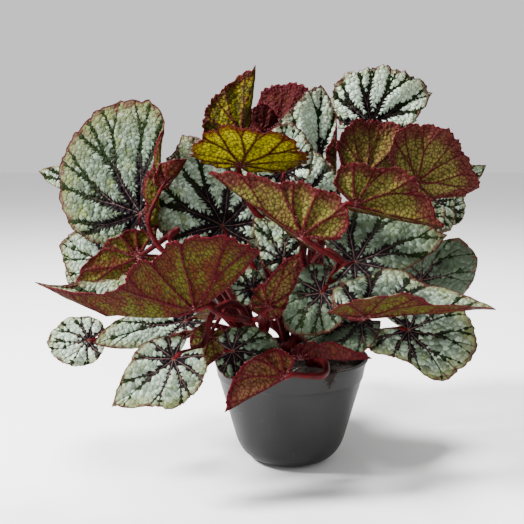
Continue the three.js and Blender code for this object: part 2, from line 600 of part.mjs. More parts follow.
LEAVES.forEach((leaf, i) => {
  leaf.seed = i + 1;
});

add('pot', potGeometry(), POT_GREY, 0.45);
add('soil', soilGeometry(), SOIL_BROWN, 0.95);
CROWNS.forEach((crown, i) => {
  add(crown.name, crownGeometry(crown, i), STALK_RED, 0.6);
});
for (const leaf of LEAVES) {
  const colour = leaf.under ? BURGUNDY : SILVER;
  add(leaf.name, bladeGeometry(leaf), colour, 0.45);
}

export default plant;
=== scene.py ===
"""Looks of the potted rex begonia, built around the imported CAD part.

Lengths are millimetres until a mesh is made."""
import math
from functools import partialmethod

import bpy
import numpy as np
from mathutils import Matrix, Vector


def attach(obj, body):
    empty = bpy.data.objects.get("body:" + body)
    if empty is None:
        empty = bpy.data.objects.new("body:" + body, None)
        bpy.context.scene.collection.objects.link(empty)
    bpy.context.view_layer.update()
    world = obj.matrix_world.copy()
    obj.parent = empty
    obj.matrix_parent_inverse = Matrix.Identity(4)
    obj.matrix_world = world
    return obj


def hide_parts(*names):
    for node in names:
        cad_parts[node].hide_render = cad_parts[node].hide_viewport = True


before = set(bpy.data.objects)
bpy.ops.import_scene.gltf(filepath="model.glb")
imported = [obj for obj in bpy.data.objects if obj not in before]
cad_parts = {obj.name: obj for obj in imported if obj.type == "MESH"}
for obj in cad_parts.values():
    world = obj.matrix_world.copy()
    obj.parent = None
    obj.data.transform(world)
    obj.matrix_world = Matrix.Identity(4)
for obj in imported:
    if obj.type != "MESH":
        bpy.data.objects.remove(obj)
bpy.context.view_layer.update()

MM = 0.001
join = np.concatenate

# The same driving sizes as the CAD source.
RIM_RADIUS = 65.0
POT_HEIGHT = 88.0
WALL_TOP_RADIUS = 62.0
BOTTOM_RADIUS = 40.4
FLAT_RADIUS = 22.0
CORNER_HEIGHT = 22.0
BAND_HEIGHT = 17.0
SOIL_TOP = 80.0
BLADE = 0.8
STALK_RADIUS = 2.4
STALK_TAPER = 0.75
STALK_GAP = 0.35
ROLL_TURN = 150.0
ROLL_RATE = 20.0

# A whole turn in radians, rounded as in the CAD source.
TURN = 6.28

# Main veins: their angles to the midrib, and how far the blade reaches along them, against the midrib.
VEINS = np.array([-150, -112, -75, -38, 0, 38, 75, 112, 150], float)
REACH = [0.46, 0.56, 0.66, 0.78, 1, 0.78, 0.66, 0.56, 0.46]
SINUS = 150

# Drawn veins: the midrib and four on each side, which sway a little and fork twice. A fork is given
# by the share of the midrib where it lies and how much that varies.
VEIN_STEP = 37.5
SIDE_VEINS = 4.0
SWAY, SWAY_RATE, SWAY_FROM = 6.0, 2.6, 0.3
FORK_RATE, FORK_SIDE, FORK_SHIFT = 2.4, 1.7, 2.0
FIRST_FORK, SECOND_FORK = (0.33, 0.11), (0.66, 0.1)

# Midrib longer than, columns round the blade, rings from its base to the margin, and hairs.
GRIDS = ((60, 180, 30, 240), (42, 152, 22, 130), (0, 116, 15, 130))

CROWNS = [
    dict(name="crown_left", at=(-24, -6), radius=9, top=90),
    dict(name="crown_right", at=(22, -10), radius=9, top=91),
    dict(name="crown_back", at=(2, 26), radius=9, top=92),
]


# What a leaf has where its row doesn't say otherwise.
USUAL = dict(stalk=STALK_RADIUS, wide=[1, 1], fold=[8, 8], curl=[-20, -20], roll=[0, 0], arch=0.1,
             point=1.6, reach=REACH, tone=0.45, silver=0.5, band=0.95, relief=1, pale=0)


def row(name, crown, at, tip, face, **more):
    """One leaf: its crown, base and tip of the midrib, and the way its upper side looks.

    As in the CAD source: into, the way the stalk ends; via, places on the stalk's way; stalk, its
    radius; wide, fold, curl and roll, for each half; arch, the bend of the midrib; point, how sharp the
    tip is; reach, along the main veins.
    For the looks: tone of the underside, from burgundy at 0 to yellow-green at 1, whose brightest
    yellow-green is partly painted light shining through a backlit leaf; silver, the brightness above,
    partly the leaf's own silvering and partly painted shade on leaves that lie in shade; band, the width
    of the dark bands; relief, how strongly it is quilted; pale, how grey the underside is, partly its own
    colour and partly a painted sheen of grazing light; scallop, the depth of the scallops on the margin."""
    return {**USUAL, **dict(name="leaf_" + name, crown=crown, at=at, tip=tip, face=face), **more}


# Placements as in the CAD source.
LEAVES = [
    # leaves that the photograph shows
    row("a", 0, [-116, -50, 211], [-108, -42, 294], [-0.25, -1, 0.1], fold=[4, 10], curl=[-12, 0],
        roll=[0, 14.5], arch=10, point=1, reach=[0.3, 0.34, 0.36, 0.52, 1, 1, 0.86, 0.62, 0.36], tone=0.6,
        silver=0.2, band=1.12),
    row("b", 0, [-95, -66, 235], [-79, -62, 253], [-0.3, 1, 0.1], into=[0.3, 0.2, 0.9],
        via=[[-40, -35, 112], [-80, -70, 165]], stalk=1.7, fold=[60, 8],
        reach=[0.3, 0.36, 0.45, 0.62, 1, 0.6, 0.5, 0.4, 0.3], tone=0.35),
    row("c", 0, [-70, -125, 151], [-185, -105, 168], [0, -0.1, 1], fold=[74, 46], curl=[8, -20], arch=-60,
        point=2.6, reach=[0.3, 0.38, 0.4, 0.52, 1, 0.46, 0.38, 0.42, 0.54], scallop=1.3),
    row("d", 0, [-156, -62, 115], [-186, -70, 114], [-0.1, -1, 0.4], into=[-0.6, -0.7, 0.1],
        via=[[-60, -26, 112], [-112, -42, 110]], point=1.2,
        reach=[0.5, 0.55, 0.62, 0.8, 1, 0.8, 0.62, 0.5, 0.42], tone=0.62, silver=0.7, band=0.5, relief=0.6,
        pale=0.2),
    row("e", 0, [-86, -112, 114], [-130, -116, 80], [-0.25, -1, 0.15],
        via=[[-42, -48, 140], [-60, -84, 140]], point=2,
        reach=[0.3, 0.28, 0.38, 0.54, 1, 0.62, 0.54, 0.46, 0.42], silver=0.4, band=0.58, relief=0.6),
    row("e2", 0, [-63, -76, 121], [-72, -78, 96], [0, 1, 0.3], into=[-0.5, -0.5, -0.7],
        via=[[-38, -42, 134], [-48, -60, 142]], stalk=1.7,
        reach=[0.4, 0.5, 0.62, 0.7, 1, 0.62, 0.5, 0.45, 0.4], tone=0.5, pale=0.3),
    row("f", 0, [-45, -102, 117], [-9, -102, 116], [0, -1, 0.2], into=[0, -0.9, 0.35],
        via=[[-34, -50, 114]], stalk=1.7, point=1.2, reach=[0.38, 0.48, 0.6, 0.7, 1, 0.72, 0.5, 0.42, 0.38],
        silver=0.15, relief=0.6),
    row("g", 1, [-8, -116, 101], [-51, -116, 76], [0, 1, 0.1], into=[-0.75, -0.6, 0.2], via=[[25, -64, 97]],
        fold=[8, 75], reach=[0.3, 0.35, 0.4, 0.5, 1, 0.66, 0.48, 0.4, 0.3], tone=0.1, pale=0.1),
    row("h", 0, [4, -90, 109], [57, -90, 111], [0, 0.3, 1], into=[0.8, -0.1, 0.5], stalk=1.7, fold=[8, 60],
        reach=[0.14, 0.18, 0.22, 0.3, 1, 0.3, 0.22, 0.18, 0.14], tone=0.1),
    row("i", 2, [-41, -5, 271], [-29, -10, 324], [0, 1, 0.1], into=[0.2, 0.45, 1], stalk=1.9, fold=[75, 8],
        reach=[0.4, 0.5, 0.6, 0.66, 1, 0.45, 0.4, 0.35, 0.2], tone=0.7, scallop=1.5),
    # its bright yellow-green underside is partly painted light shining through the backlit leaf
    row("j", 0, [-40, -52, 248], [-24, -98, 274], [0, 0.6, 1], into=[-0.3, 0.3, 0.9], via=[[-12, -52, 190]],
        wide=[1.25, 1.1], point=1, reach=[0.3, 0.5, 0.68, 0.8, 0.9, 0.8, 0.68, 0.5, 0.3], tone=1.05,
        relief=0.4, scallop=3.0),
    row("k", 2, [-10, 40, 276], [11, 45, 311], [0.5, 1, 0.1], into=[0.1, 0, 1], stalk=1.7, point=1,
        reach=[0.4, 0.5, 0.7, 0.95, 1, 0.95, 0.7, 0.5, 0.4], tone=0.08, scallop=1.6),
    row("l", 2, [-24, 20, 273], [-24, 20, 297], [0, 1, 0.1], into=[0, -0.3, 1], stalk=1.7, tone=0.1),
    row("m", 2, [22, 2, 232], [24, 8, 309], [0.15, -1, 0.2], fold=[6, 10], curl=[-10, 0], roll=[0, 11],
        reach=[0.28, 0.3, 0.32, 0.5, 1, 0.76, 0.5, 0.38, 0.3], silver=0.95, band=0.75),
    row("n", 2, [64, 0, 279], [114, 5, 304], [0.2, -1, 0.2],
        reach=[0.4, 0.42, 0.42, 0.5, 1, 0.84, 0.78, 0.72, 0.47], silver=0.8, band=1.1, scallop=1.8),
    row("o1", 1, [58, -29, 239], [90, -18, 273], [-0.1, 1, 0.1], into=[0.3, -0.3, 0.9],
        via=[[36, -16, 150]], reach=[0.4, 0.5, 0.8, 0.9, 1, 0.6, 0.46, 0.42, 0.4], tone=0.42, pale=0.34,
        scallop=1.6),
    row("o2", 1, [95, -35, 234], [148, -22, 229], [-0.2, 1, 0.1], into=[0.75, -0.4, 0.65],
        via=[[44, -16, 150]], reach=[0.5, 0.78, 0.82, 0.82, 1, 0.4, 0.35, 0.26, 0.12], tone=0.46, pale=0.5,
        scallop=1.5),
    row("p", 1, [43, -88, 220], [106, -84, 204], [0, 1, 0.1], into=[0.6, -0.2, 0.7],
        via=[[22, -42, 150], [20, -60, 196]], fold=[75, 8],
        reach=[0.35, 0.46, 0.46, 0.69, 1, 0.55, 0.45, 0.4, 0.3], tone=0.6, pale=0.36, scallop=1.9),
    row("q", 1, [3, -116, 201], [-58, -104, 242], [0, 1, 0.1], into=[-0.8, -0.3, 0.5],
        via=[[14, -42, 150], [16, -62, 176], [24, -92, 188]], fold=[6, 75],
        reach=[0.3, 0.35, 0.38, 0.4, 1, 0.52, 0.45, 0.5, 0.35], tone=0.52, pale=0.3, scallop=1.7),
    row("r", 0, [-54, -46, 201], [-86, -22, 270], [0, -1, 0.4],
        reach=[0.3, 0.38, 0.48, 0.7, 1, 0.72, 0.58, 0.38, 0.28], silver=0.45, band=1.1, relief=0.8),
    row("s", 1, [3, -24, 216], [-66, -14, 242], [0, -1, 0.4], tone=0.4, silver=0.6),
    row("t1", 0, [-8, -84, 181], [-30, -80, 210], [0.2, -1, 0.2], into=[0.45, -0.3, 0.85],
        via=[[-22, -50, 130]], stalk=1.7, reach=[0.25, 0.3, 0.48, 0.7, 1, 0.52, 0.4, 0.35, 0.3], band=0.7),
    row("t2", 0, [-20, -106, 150], [5, -102, 190], [-0.2, 1, 0.1], into=[0.1, -0.9, 0.4],
        reach=[0.2, 0.24, 0.28, 0.36, 1, 0.36, 0.28, 0.24, 0.2], tone=0.15, pale=0.24),
    row("u", 1, [20, -78, 155], [-3, -88, 127], [0, -1, 0.3],
        reach=[0.55, 0.6, 0.6, 0.88, 1, 0.82, 0.66, 0.5, 0.43], silver=0.06, band=0.8, relief=0.42),
    row("v", 1, [46, -60, 175], [117, -44, 193], [0.1, -0.75, 0.65],
        reach=[0.3, 0.3, 0.32, 0.42, 1, 0.75, 0.66, 0.46, 0.22], silver=0.16, band=0.85, relief=0.42),
    row("w", 1, [48, -110, 143], [143, -100, 146], [0, -0.1, 1], into=[0, -1, 0.05],
        via=[[38, -28, 130], [47, -54, 152]], fold=[32, 38],
        reach=[0.35, 0.4, 0.45, 0.5, 1, 0.58, 0.46, 0.36, 0.25], silver=0.42, band=0.8, relief=0.65),
    row("x", 1, [106, -5, 152], [141, 4, 186], [0.5, -0.9, 0.2], stalk=1.7, wide=[1.1, 1],
        reach=[0.4, 0.5, 0.75, 1, 1, 0.5, 0.4, 0.36, 0.3], silver=0.0, band=0.5, relief=0.5),
    row("y", 1, [85, -75, 126], [134, -80, 114], [0.25, -1, 0.4], via=[[46, -24, 108]], point=1,
        reach=[0.72, 0.5, 0.5, 0.9, 1, 0.86, 0.52, 0.4, 0.4], silver=0.34, band=0.6, relief=0.5),
    row("z", 1, [51, -68, 131], [5, -72, 120], [0, -0.6, 0.8],
        reach=[0.3, 0.32, 0.36, 0.42, 1, 0.74, 0.6, 0.42, 0.3], silver=0.02, relief=0.5),
    row("aa", 0, [-142, -30, 171], [-185, -20, 182], [-0.3, -1, 0.4], stalk=1.7, band=0.6),
    row("ab", 0, [-115, -68, 181], [-168, -56, 151], [0, 1, 0.2], into=[-0.8, -0.1, -0.55],
        via=[[-60, -50, 150], [-92, -70, 196]], point=1.2,
        reach=[0.32, 0.4, 0.45, 0.55, 1, 0.45, 0.34, 0.32, 0.3], tone=0.5, scallop=1.4),
    row("ac", 0, [-154, -20, 156], [-184, -10, 164], [-0.6, -0.8, 0.3], stalk=1.7, band=0.6),
    row("ad", 0, [-178, 20, 232], [-213, 26, 240], [-0.6, -0.8, 0.2], stalk=1.7,
        reach=[0.2, 0.3, 0.4, 0.45, 1, 0.45, 0.4, 0.3, 0.2]),
    row("ae", 1, [136, 30, 224], [168, 36, 245], [0.6, -0.8, 0.3], stalk=1.7,
        reach=[0.3, 0.34, 0.34, 0.36, 1, 0.5, 0.45, 0.4, 0.3]),
    row("af", 1, [111, 5, 218], [131, 4, 192], [0.2, -1, 0.2], into=[0.7, -0.6, 0.2], stalk=1.7,
        reach=[0.3, 0.4, 0.6, 0.85, 1, 0.8, 0.6, 0.5, 0.3]),
    row("ah", 1, [95, -14, 197], [124, -8, 210], [0, -1, 0.3], stalk=1.7),
    # the back and the sides, which the photograph doesn't show
    row("back_1", 2, [-62, 58, 214], [-88, 112, 192], [-0.3, 0.8, 0.6], arch=30),
    row("back_2", 2, [18, 72, 226], [28, 138, 208], [0, 0.8, 0.6], arch=30),
    row("back_3", 2, [82, 58, 208], [126, 98, 186], [0.5, 0.7, 0.6], arch=30),
    row("back_4", 2, [-98, 52, 152], [-154, 84, 134], [-0.5, 0.6, 0.7], arch=30),
    row("back_5", 2, [-33, 92, 156], [-50, 156, 134], [-0.1, 0.8, 0.6], arch=30),
    row("back_6", 2, [53, 90, 154], [80, 148, 132], [0.3, 0.8, 0.6], arch=30),
    row("back_7", 1, [100, 52, 146], [156, 78, 128], [0.5, 0.5, 0.7], arch=30, relief=0.4),
    row("back_8", 2, [-58, 70, 116], [-86, 108, 92], [-0.4, 0.8, 0.5], arch=20),
    row("side_1", 0, [-86, 46, 178], [-136, 64, 184], [-0.4, 0.1, 0.9],
        reach=[0.4, 0.45, 0.5, 0.6, 1, 0.6, 0.5, 0.45, 0.4]),
    row("side_2", 1, [84, 51, 178], [132, 63, 172], [0.4, 0.1, 0.9],
        reach=[0.4, 0.45, 0.5, 0.6, 1, 0.6, 0.5, 0.45, 0.4]),
    row("back_9", 2, [14, 84, 112], [22, 124, 86], [0.1, 0.8, 0.5], arch=20),
    # more leaves that the photograph shows
    row("d2", 0, [-83, -56, 129], [-148, -82, 117], [0, -0.8, 0.6], roll=[12, 0], point=1.4,
        reach=[0.22, 0.26, 0.33, 0.42, 1, 0.36, 0.3, 0.24, 0.22], tone=0.66, silver=0.45, band=0.62,
        relief=0.6, pale=0.2),
    row("m2", 1, [-7, -30, 242], [-5, -33, 280], [0, -1, 0.2], into=[0, 0.35, 0.95],
        via=[[14, -40, 150], [2, -48, 194], [-4, -40, 214]], point=1.1,
        reach=[0.36, 0.46, 0.6, 0.78, 1, 0.78, 0.6, 0.46, 0.36], silver=0.9, band=0.7, relief=0.4),
    row("c2", 0, [-31, -98, 161], [-48, -100, 171], [0, -1, 0.5], via=[[-30, -60, 130]], stalk=1.7,
        point=1.2, silver=0.4),
    row("ag", 1, [131, 18, 205], [145, 22, 219], [0.3, -1, 0.2], stalk=1.7, silver=0.4),
    # inside, behind the stalks, with little silvering, which is painted shade
    row("in_1", 2, [-36, 47, 133], [-50, 51, 182], [0, -1, 0.3], stalk=1.7, silver=0.1, relief=0.25),
    row("in_2", 2, [46, 48, 136], [54, 52, 184], [0.1, -1, 0.3], stalk=1.7, silver=0.1, relief=0.25),
]
for number, leaf in enumerate(LEAVES):
    leaf["seed"] = number + 1


def draw(leaf, number):
    """A steady number from 0 to 1: each leaf has its own series of them."""
    s = math.sin(leaf["seed"] * 127.1 + number * 311.7) * 43758.5453
    return s - math.floor(s)


def ripple(leaf, angle, times, number, span=TURN):
    """A sine round the blade, which starts elsewhere on each leaf."""
    return np.sin(times * angle + span * draw(leaf, number))


def unit(v):
    """Unit vector, or a list of them for a list of vectors."""
    v = np.asarray(v, float)
    return v / np.linalg.norm(v, axis=-1, keepdims=True)


def mix(a, b, t):
    return a + (b - a) * t


# Meshes.
def circle(sides):
    """Angles all round, in radians."""
    return 2 * np.pi * np.arange(sides) / sides


def ring_points(radius, z, sides):
    a = circle(sides)
    return np.stack([radius * np.cos(a), radius * np.sin(a), np.full(sides, z)], -1)


def ring_quads(rings, sides, start=0):
    """Quads between neighbouring rings of points that are closed all round."""
    i = start + np.arange(rings - 1)[:, None] * sides
    j = np.arange(sides)[None, :]
    k = (j + 1) % sides
    return np.stack([i + j, i + k, i + sides + k, i + sides + j], -1).reshape(-1, 4)


def fan(centre, start, sides):
    """Triangles from a point to a ring around it."""
    j = np.arange(sides)
    return np.stack([np.full(sides, centre), start + j, start + (j + 1) % sides], -1)


def end_caps(rings, sides):
    """Triangles that close the first and the last ring of a tube."""
    j = np.arange(1, sides - 1)
    zero = np.zeros(sides - 2, int)
    return join([np.stack([zero, j + 1, j], -1), (rings - 1) * sides + np.stack([zero, j, j + 1], -1)])


def spikes(bases, ways, spread, least, more, radius, rng):
    """Hairs: thin three-sided spikes, open inside what they stand on."""
    n = len(bases)
    d = unit(ways + spread * rng.standard_normal((n, 3)))
    lengths = least + more * rng.rand(n, 1)
    e1 = unit(np.cross(d, rng.standard_normal((n, 3))))
    e2 = np.cross(d, e1)
    corners = [bases + radius * (math.cos(a) * e1 + math.sin(a) * e2) for a in circle(3)]
    bend = 0.18 * rng.standard_normal((n, 3))
    i = np.arange(n)
    faces = [np.stack([i + j * n, i + (j + 1) % 3 * n, i + 3 * n], 1) for j in range(3)]
    return join([*corners, bases + (d + bend) * lengths]), join(faces)


def add_object(name, data):
    obj = bpy.data.objects.new(name, data)
    bpy.context.collection.objects.link(obj)
    return obj


def make_mesh(name, verts, faces, materials, face_slots, uv_layers=None, smooth=True):
    """One mesh object from millimetre points and lists of triangles and quads."""
    mesh = bpy.data.meshes.new(name)
    sizes = join([np.full(len(f), f.shape[1]) for f in faces])
    loops = join([f.ravel() for f in faces]).astype(np.int32)
    starts = join([[0], np.cumsum(sizes)[:-1]]).astype(np.int32)
    mesh.vertices.add(len(verts))
    mesh.vertices.foreach_set("co", (np.asarray(verts) * MM).astype(np.float32).ravel())
    mesh.loops.add(len(loops))
    mesh.loops.foreach_set("vertex_index", loops)
    mesh.polygons.add(len(sizes))
    mesh.polygons.foreach_set("loop_start", starts)
    mesh.polygons.foreach_set("material_index", np.asarray(face_slots, np.int32))
    for layer, values in (uv_layers or {}).items():
        uv = mesh.uv_layers.new(name=layer)
        uv.data.foreach_set("uv", np.asarray(values, np.float32).ravel())
    mesh.update(calc_edges=True)
    mesh.validate()
    mesh.polygons.foreach_set("use_smooth", np.full(len(mesh.polygons), smooth))
    for material in materials:
        mesh.materials.append(material)
    return add_object(name, mesh)


# Leaf blades.
def smooth_between(a, b, c, d, t):
    """Smooth value between b, at t = 0, and c, at t = 1, with their neighbours a and d."""
    return b + 0.5 * t * (c - a + t * (2 * a - 5 * b + 4 * c - d + t * (3 * (b - c) + d - a)))


def vein_place(phi):
    """Number of the main vein before each angle, and the share of the way to the next one."""
    k = np.clip(np.searchsorted(VEINS, phi, side="right") - 1, 0, len(VEINS) - 2)
    return k, np.clip((phi - VEINS[k]) / (VEINS[k + 1] - VEINS[k]), 0, 1)


def margin_radius(leaf, length, phi, closed=False):
    """Margin radius against the midrib length for angles in degrees, as in the CAD source.

    A closed sinus leaves only a narrow cut between the two lobes at the base."""
    phi = np.asarray(phi, float)
    reach = np.array(leaf["reach"], float)
    a = np.radians(phi)
    wobble = 1 + 0.016 * ripple(leaf, a, 5, 1) + 0.012 * ripple(leaf, a, 9, 2)
    k, t = vein_place(phi)
    last = len(VEINS) - 1
    left = np.maximum(k - 1, 0)
    right = np.minimum(k + 2, last)
    before = np.where((k == 0) | (VEINS[left] == 0), reach[k], reach[left])
    after = np.where((k == last - 1) | (VEINS[right] == 0), reach[k + 1], reach[right])
    radius = smooth_between(before, reach[k], reach[k + 1], after, t)
    point = leaf["point"]
    radius = np.where(VEINS[k] == 0, mix(reach[k], reach[k + 1], 1 - (1 - t) ** point), radius)
    radius = np.where(VEINS[k + 1] == 0, mix(reach[k], reach[k + 1], t ** point), radius)
    inner = radius * (1 + 0.02 * np.sin(np.pi * t)) * wobble
    far = np.clip((np.abs(phi) - SINUS) / (180 - SINUS), 0, 1)
    closing = np.clip((far - 0.4) / 0.45, 0, 1) if closed else np.minimum(1, 2.1 * far)
    end = np.where(phi > 0, reach[-1], reach[0])
    notch = max(0.07, 3.4 / length)
    outer = mix(end, notch, np.sin(closing * np.pi / 2)) * mix(wobble, 1, closing)
    return np.where(np.abs(phi) > SINUS, outer, inner)


def blade_frame(leaf):
    """Base, midrib length and directions of a blade whose midrib bends along an arc."""
    at = np.array(leaf["at"], float)
    chord = np.array(leaf["tip"], float) - at
    arch = math.radians(leaf["arch"])
    length = np.linalg.norm(chord) * (arch / 2) / math.sin(arch / 2)
    chord = unit(chord)
    face = np.array(leaf["face"], float)
    normal = unit(face - chord * chord.dot(face))
    return dict(at=at, length=length, arch=arch, side=np.cross(normal, chord),
                tangent=chord * math.cos(arch / 2) + normal * math.sin(arch / 2),
                up=normal * math.cos(arch / 2) - chord * math.sin(arch / 2))


def sideways(s, width, fold, curl, roll):
    """Place and height at a distance from the midrib, on a half that folds, curls and rolls."""
    steps = 24
    out = np.zeros_like(s)
    up = np.zeros_like(s)
    for i in range(steps):
        here = (i + 0.5) / steps * s
        turn = np.where(roll > 0, np.clip((here - roll) * ROLL_RATE, 0, ROLL_TURN), 0)
        angle = np.radians(fold + curl * (here / width) ** 2 + turn)
        out += np.cos(angle) * s / steps
        up += np.sin(angle) * s / steps
    return out, up


def veins(x, y, length, mark):
    """Share of the midrib, and distance in mm to the nearest vein, of points in the flat blade."""
    r = np.hypot(x, y) / length
    angle = np.degrees(np.arctan2(y, x))
    sway = SWAY * np.sin(SWAY_RATE * r + TURN * mark) * np.minimum(1, r / SWAY_FROM)
    angle = angle + sway * np.clip((180 - np.abs(angle)) / 30, 0, 1)
    k = np.clip(np.round(angle / VEIN_STEP), -SIDE_VEINS, SIDE_VEINS)
    safe = np.maximum(r, 1e-3)

    def fork(offset, place, shift, spread):
        where = place[0] + place[1] * np.sin(FORK_RATE * k + shift)
        return np.abs(offset) - spread * np.maximum(0, 1 - where / safe) / (1 - where)

    a = angle - VEIN_STEP * k
    b = fork(a, FIRST_FORK, TURN * mark, VEIN_STEP / 4)
    c = fork(b, SECOND_FORK, FORK_SIDE * np.sign(a) + TURN * mark + FORK_SHIFT, VEIN_STEP / 8)
    return r, r * length * np.radians(np.abs(c))


def cut_margin(leaf, length, phi, mark):
    """Margin radius with its scallops and teeth, which end beside the sinus."""
    a = np.radians(phi)
    scallop = np.abs(np.sin(a * 9.6 + 3 * mark)) ** 0.7 + 0.35 * np.abs(np.sin(a * 19.2 + 5 * mark))
    teeth = ripple(leaf, a, 47, 7, 9) + 0.8 * ripple(leaf, a, 71, 8, 9)
    strong = leaf.get("scallop", 0.4 + 0.9 * draw(leaf, 9))
    edge = (0.030 * (scallop - 0.8) + 0.009 * teeth) * strong * np.clip((168 - np.abs(phi)) / 8, 0, 1)
    return margin_radius(leaf, length, phi, "into" not in leaf) * (1 + edge)


def blade_grid(leaf, fr, columns, rings):
    """Middle surface on rings by columns, its place in the flat blade, and where the ribs are."""
    length = fr["length"]
    mark = draw(leaf, 6)
    phi = -180 + 360 * np.arange(columns) / columns
    rho = (np.arange(1, rings + 1) / rings) ** 0.92
    P, R = np.meshgrid(phi, rho)
    r = cut_margin(leaf, length, phi, mark)[None, :] * R
    a = np.radians(P)
    x = r * length * np.cos(a)
    y = r * length * np.sin(a)
    half = (P < 0).astype(int)
    wide, fold, curl, roll = (np.array(leaf[key], float)[half] for key in ("wide", "fold", "curl", "roll"))
    out, up = sideways(np.abs(y) * wide, 0.7 * length * wide, fold, curl, roll)

    # pleats between the main veins, waves that grow to the margin, and its fine ruffle
    t = vein_place(P)[1]
    pleat = 2.0 * R * (1.2 - R) * np.where(np.abs(P) > SINUS, 0, np.sin(np.pi * t) ** 2)
    far = np.minimum(1, r / 0.55)
    wave = 2.2 * far * far * (ripple(leaf, a, 3, 3) + 0.7 * ripple(leaf, a, 6, 4))
    ruffle = 0.55 * np.clip((R - 0.8) / 0.2, 0, 1) ** 2 * ripple(leaf, a, 17, 5) * (np.abs(P) < 165)

    # quilted relief that sinks to the veins
    gap = veins(x, y, length, mark)[1]
    puff = 1 - np.exp(-(gap / 2.4) ** 2)
    crumple = np.sin(1.15 * x + 1.9 * np.sin(0.5 * y)) * np.sin(1.05 * y + 1.7 * np.sin(0.6 * x))
    relief = (1.8 * min(1.2, length / 70) * puff + 0.3 * crumple * puff) * np.clip((1 - R) / 0.1, 0.1, 1)
    relief = relief * np.minimum(1, r / 0.1) * leaf["relief"]
    rib = np.exp(-(gap / mix(1.1, 0.7, R)) ** 2) * (1 - 0.7 * R)

    # the midrib's arc, which is nearly straight behind the base
    lift = up + pleat + wave + ruffle + relief
    turn = fr["arch"] / length * np.where(x < 0, 0.2, 1)
    bend = turn * x
    along = np.sin(bend) / turn + lift * np.sin(bend)
    high = -((1 - np.cos(bend)) / turn) + lift * np.cos(bend)
    across = np.where(P >= 0, 1, -1) * out
    point = (fr["at"] + along[..., None] * fr["tangent"] + high[..., None] * fr["up"]
             + across[..., None] * fr["side"])
    return dict(point=point, x=x, y=y, rho=R, rib=rib, phi=phi, mark=mark)


def blade_normals(fr, grid):
    """Normals of the middle surface, by differences between neighbours."""
    point = grid["point"]
    around = np.roll(point, -1, axis=1) - np.roll(point, 1, axis=1)
    normal = np.cross(np.gradient(point, axis=0), around)
    normal /= np.maximum(np.linalg.norm(normal, axis=2, keepdims=True), 1e-9)
    normal = np.where((np.abs(grid["phi"]) > 176)[None, :, None], fr["up"], normal)
    return -normal if (normal * fr["up"]).sum() < 0 else normal


def blade_hairs(leaf, grid, normal, low, count):
    """Hairs along the margin, and on the ribs underneath."""
    rng = np.random.RandomState(leaf["seed"])
    rim, inside = grid["point"][-1], grid["point"][-2]
    pick = rng.randint(0, len(rim), count)
    bases = rim[pick] + (np.roll(rim, -1, axis=0)[pick] - rim[pick]) * rng.rand(count, 1)
    margin = spikes(bases, unit(rim[pick] - inside[pick]), 0.4, 0.8, 1.1, 0.08, rng)
    ribs = np.argwhere((grid["rib"] > 0.55) & (grid["rho"] < 0.8))
    ring, column = ribs[rng.randint(0, len(ribs), count)].T
    return margin, spikes(low[ring, column], -normal[ring, column], 0.5, 0.8, 1.2, 0.1, rng)


def build_leaf(leaf, materials):
    fr = blade_frame(leaf)
    length = fr["length"]
    columns, rings, hair_count = next(grid[1:] for grid in GRIDS if length > grid[0])
    grid = blade_grid(leaf, fr, columns, rings)
    normal = blade_normals(fr, grid)
    thick = BLADE / 2 * mix(1.0, 0.55, grid["rho"][..., None] ** 3)
    rib = 0.9 * grid["rib"][..., None] * min(1.0, length / 70)
    top = grid["point"] + normal * thick
    low = grid["point"] - normal * (thick + rib)
    margin, ribs = blade_hairs(leaf, grid, normal, low, hair_count)
    verts = join([
        [fr["at"] + fr["up"] * BLADE / 2], top.reshape(-1, 3),
        [fr["at"] - fr["up"] * (BLADE / 2 + 0.8)], low.reshape(-1, 3), margin[0], ribs[0]])

    # upper side, underside, edge between them, and their fans at the base
    under = rings * columns + 1
    quads = ring_quads(rings, columns, 1)[:, [0, 3, 2, 1]]
    centre = fan(0, 1, columns)
    last = 1 + (rings - 1) * columns
    j = np.arange(columns)
    k = (j + 1) % columns
    edge = np.stack([last + j, under + last + j, under + last + k, last + k], -1)
    hairs = join([margin[1], ribs[1] + len(margin[0])]) + 2 * under
    faces = [quads, quads[:, ::-1] + under, edge, centre, centre[:, ::-1] + under, hairs]
    slots = [0, 1, 1, 0, 1, 2]

    # what the materials read at each corner: place in the flat blade, looks and sizes
    place = np.zeros((len(verts), 3))
    place[1:under] = np.stack([grid["x"] / 100, grid["y"] / 100, grid["rho"]], -1).reshape(-1, 3)
    place[under + 1:2 * under] = place[1:under]
    looks = np.array([[leaf[key] for key in ("silver", "band", "relief")],
                      [leaf[key] for key in ("tone", "band", "pale")], [0, 0, 0]], float)
    corner = place[join([f.ravel() for f in faces])]
    look = looks[np.repeat(slots, [f.size for f in faces])]
    layers = dict(pattern=corner[:, :2], share=np.stack([corner[:, 2], look[:, 0]], -1),
                  sizes=np.tile([length / 100, grid["mark"]], (len(corner), 1)), band=look[:, 1:])
    obj = make_mesh(leaf["name"].replace("leaf_", "blade_"), verts, faces, materials,
                    np.repeat(slots, [len(f) for f in faces]), layers)
    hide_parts(leaf["name"])
    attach(obj, "root")


# Stalks.
def bezier(points, count):
    t = np.linspace(0, 1, count)[:, None]
    a, b, c, d = points
    return (1 - t) ** 3 * a + 3 * (1 - t) ** 2 * t * b + 3 * (1 - t) * t ** 2 * c + t ** 3 * d


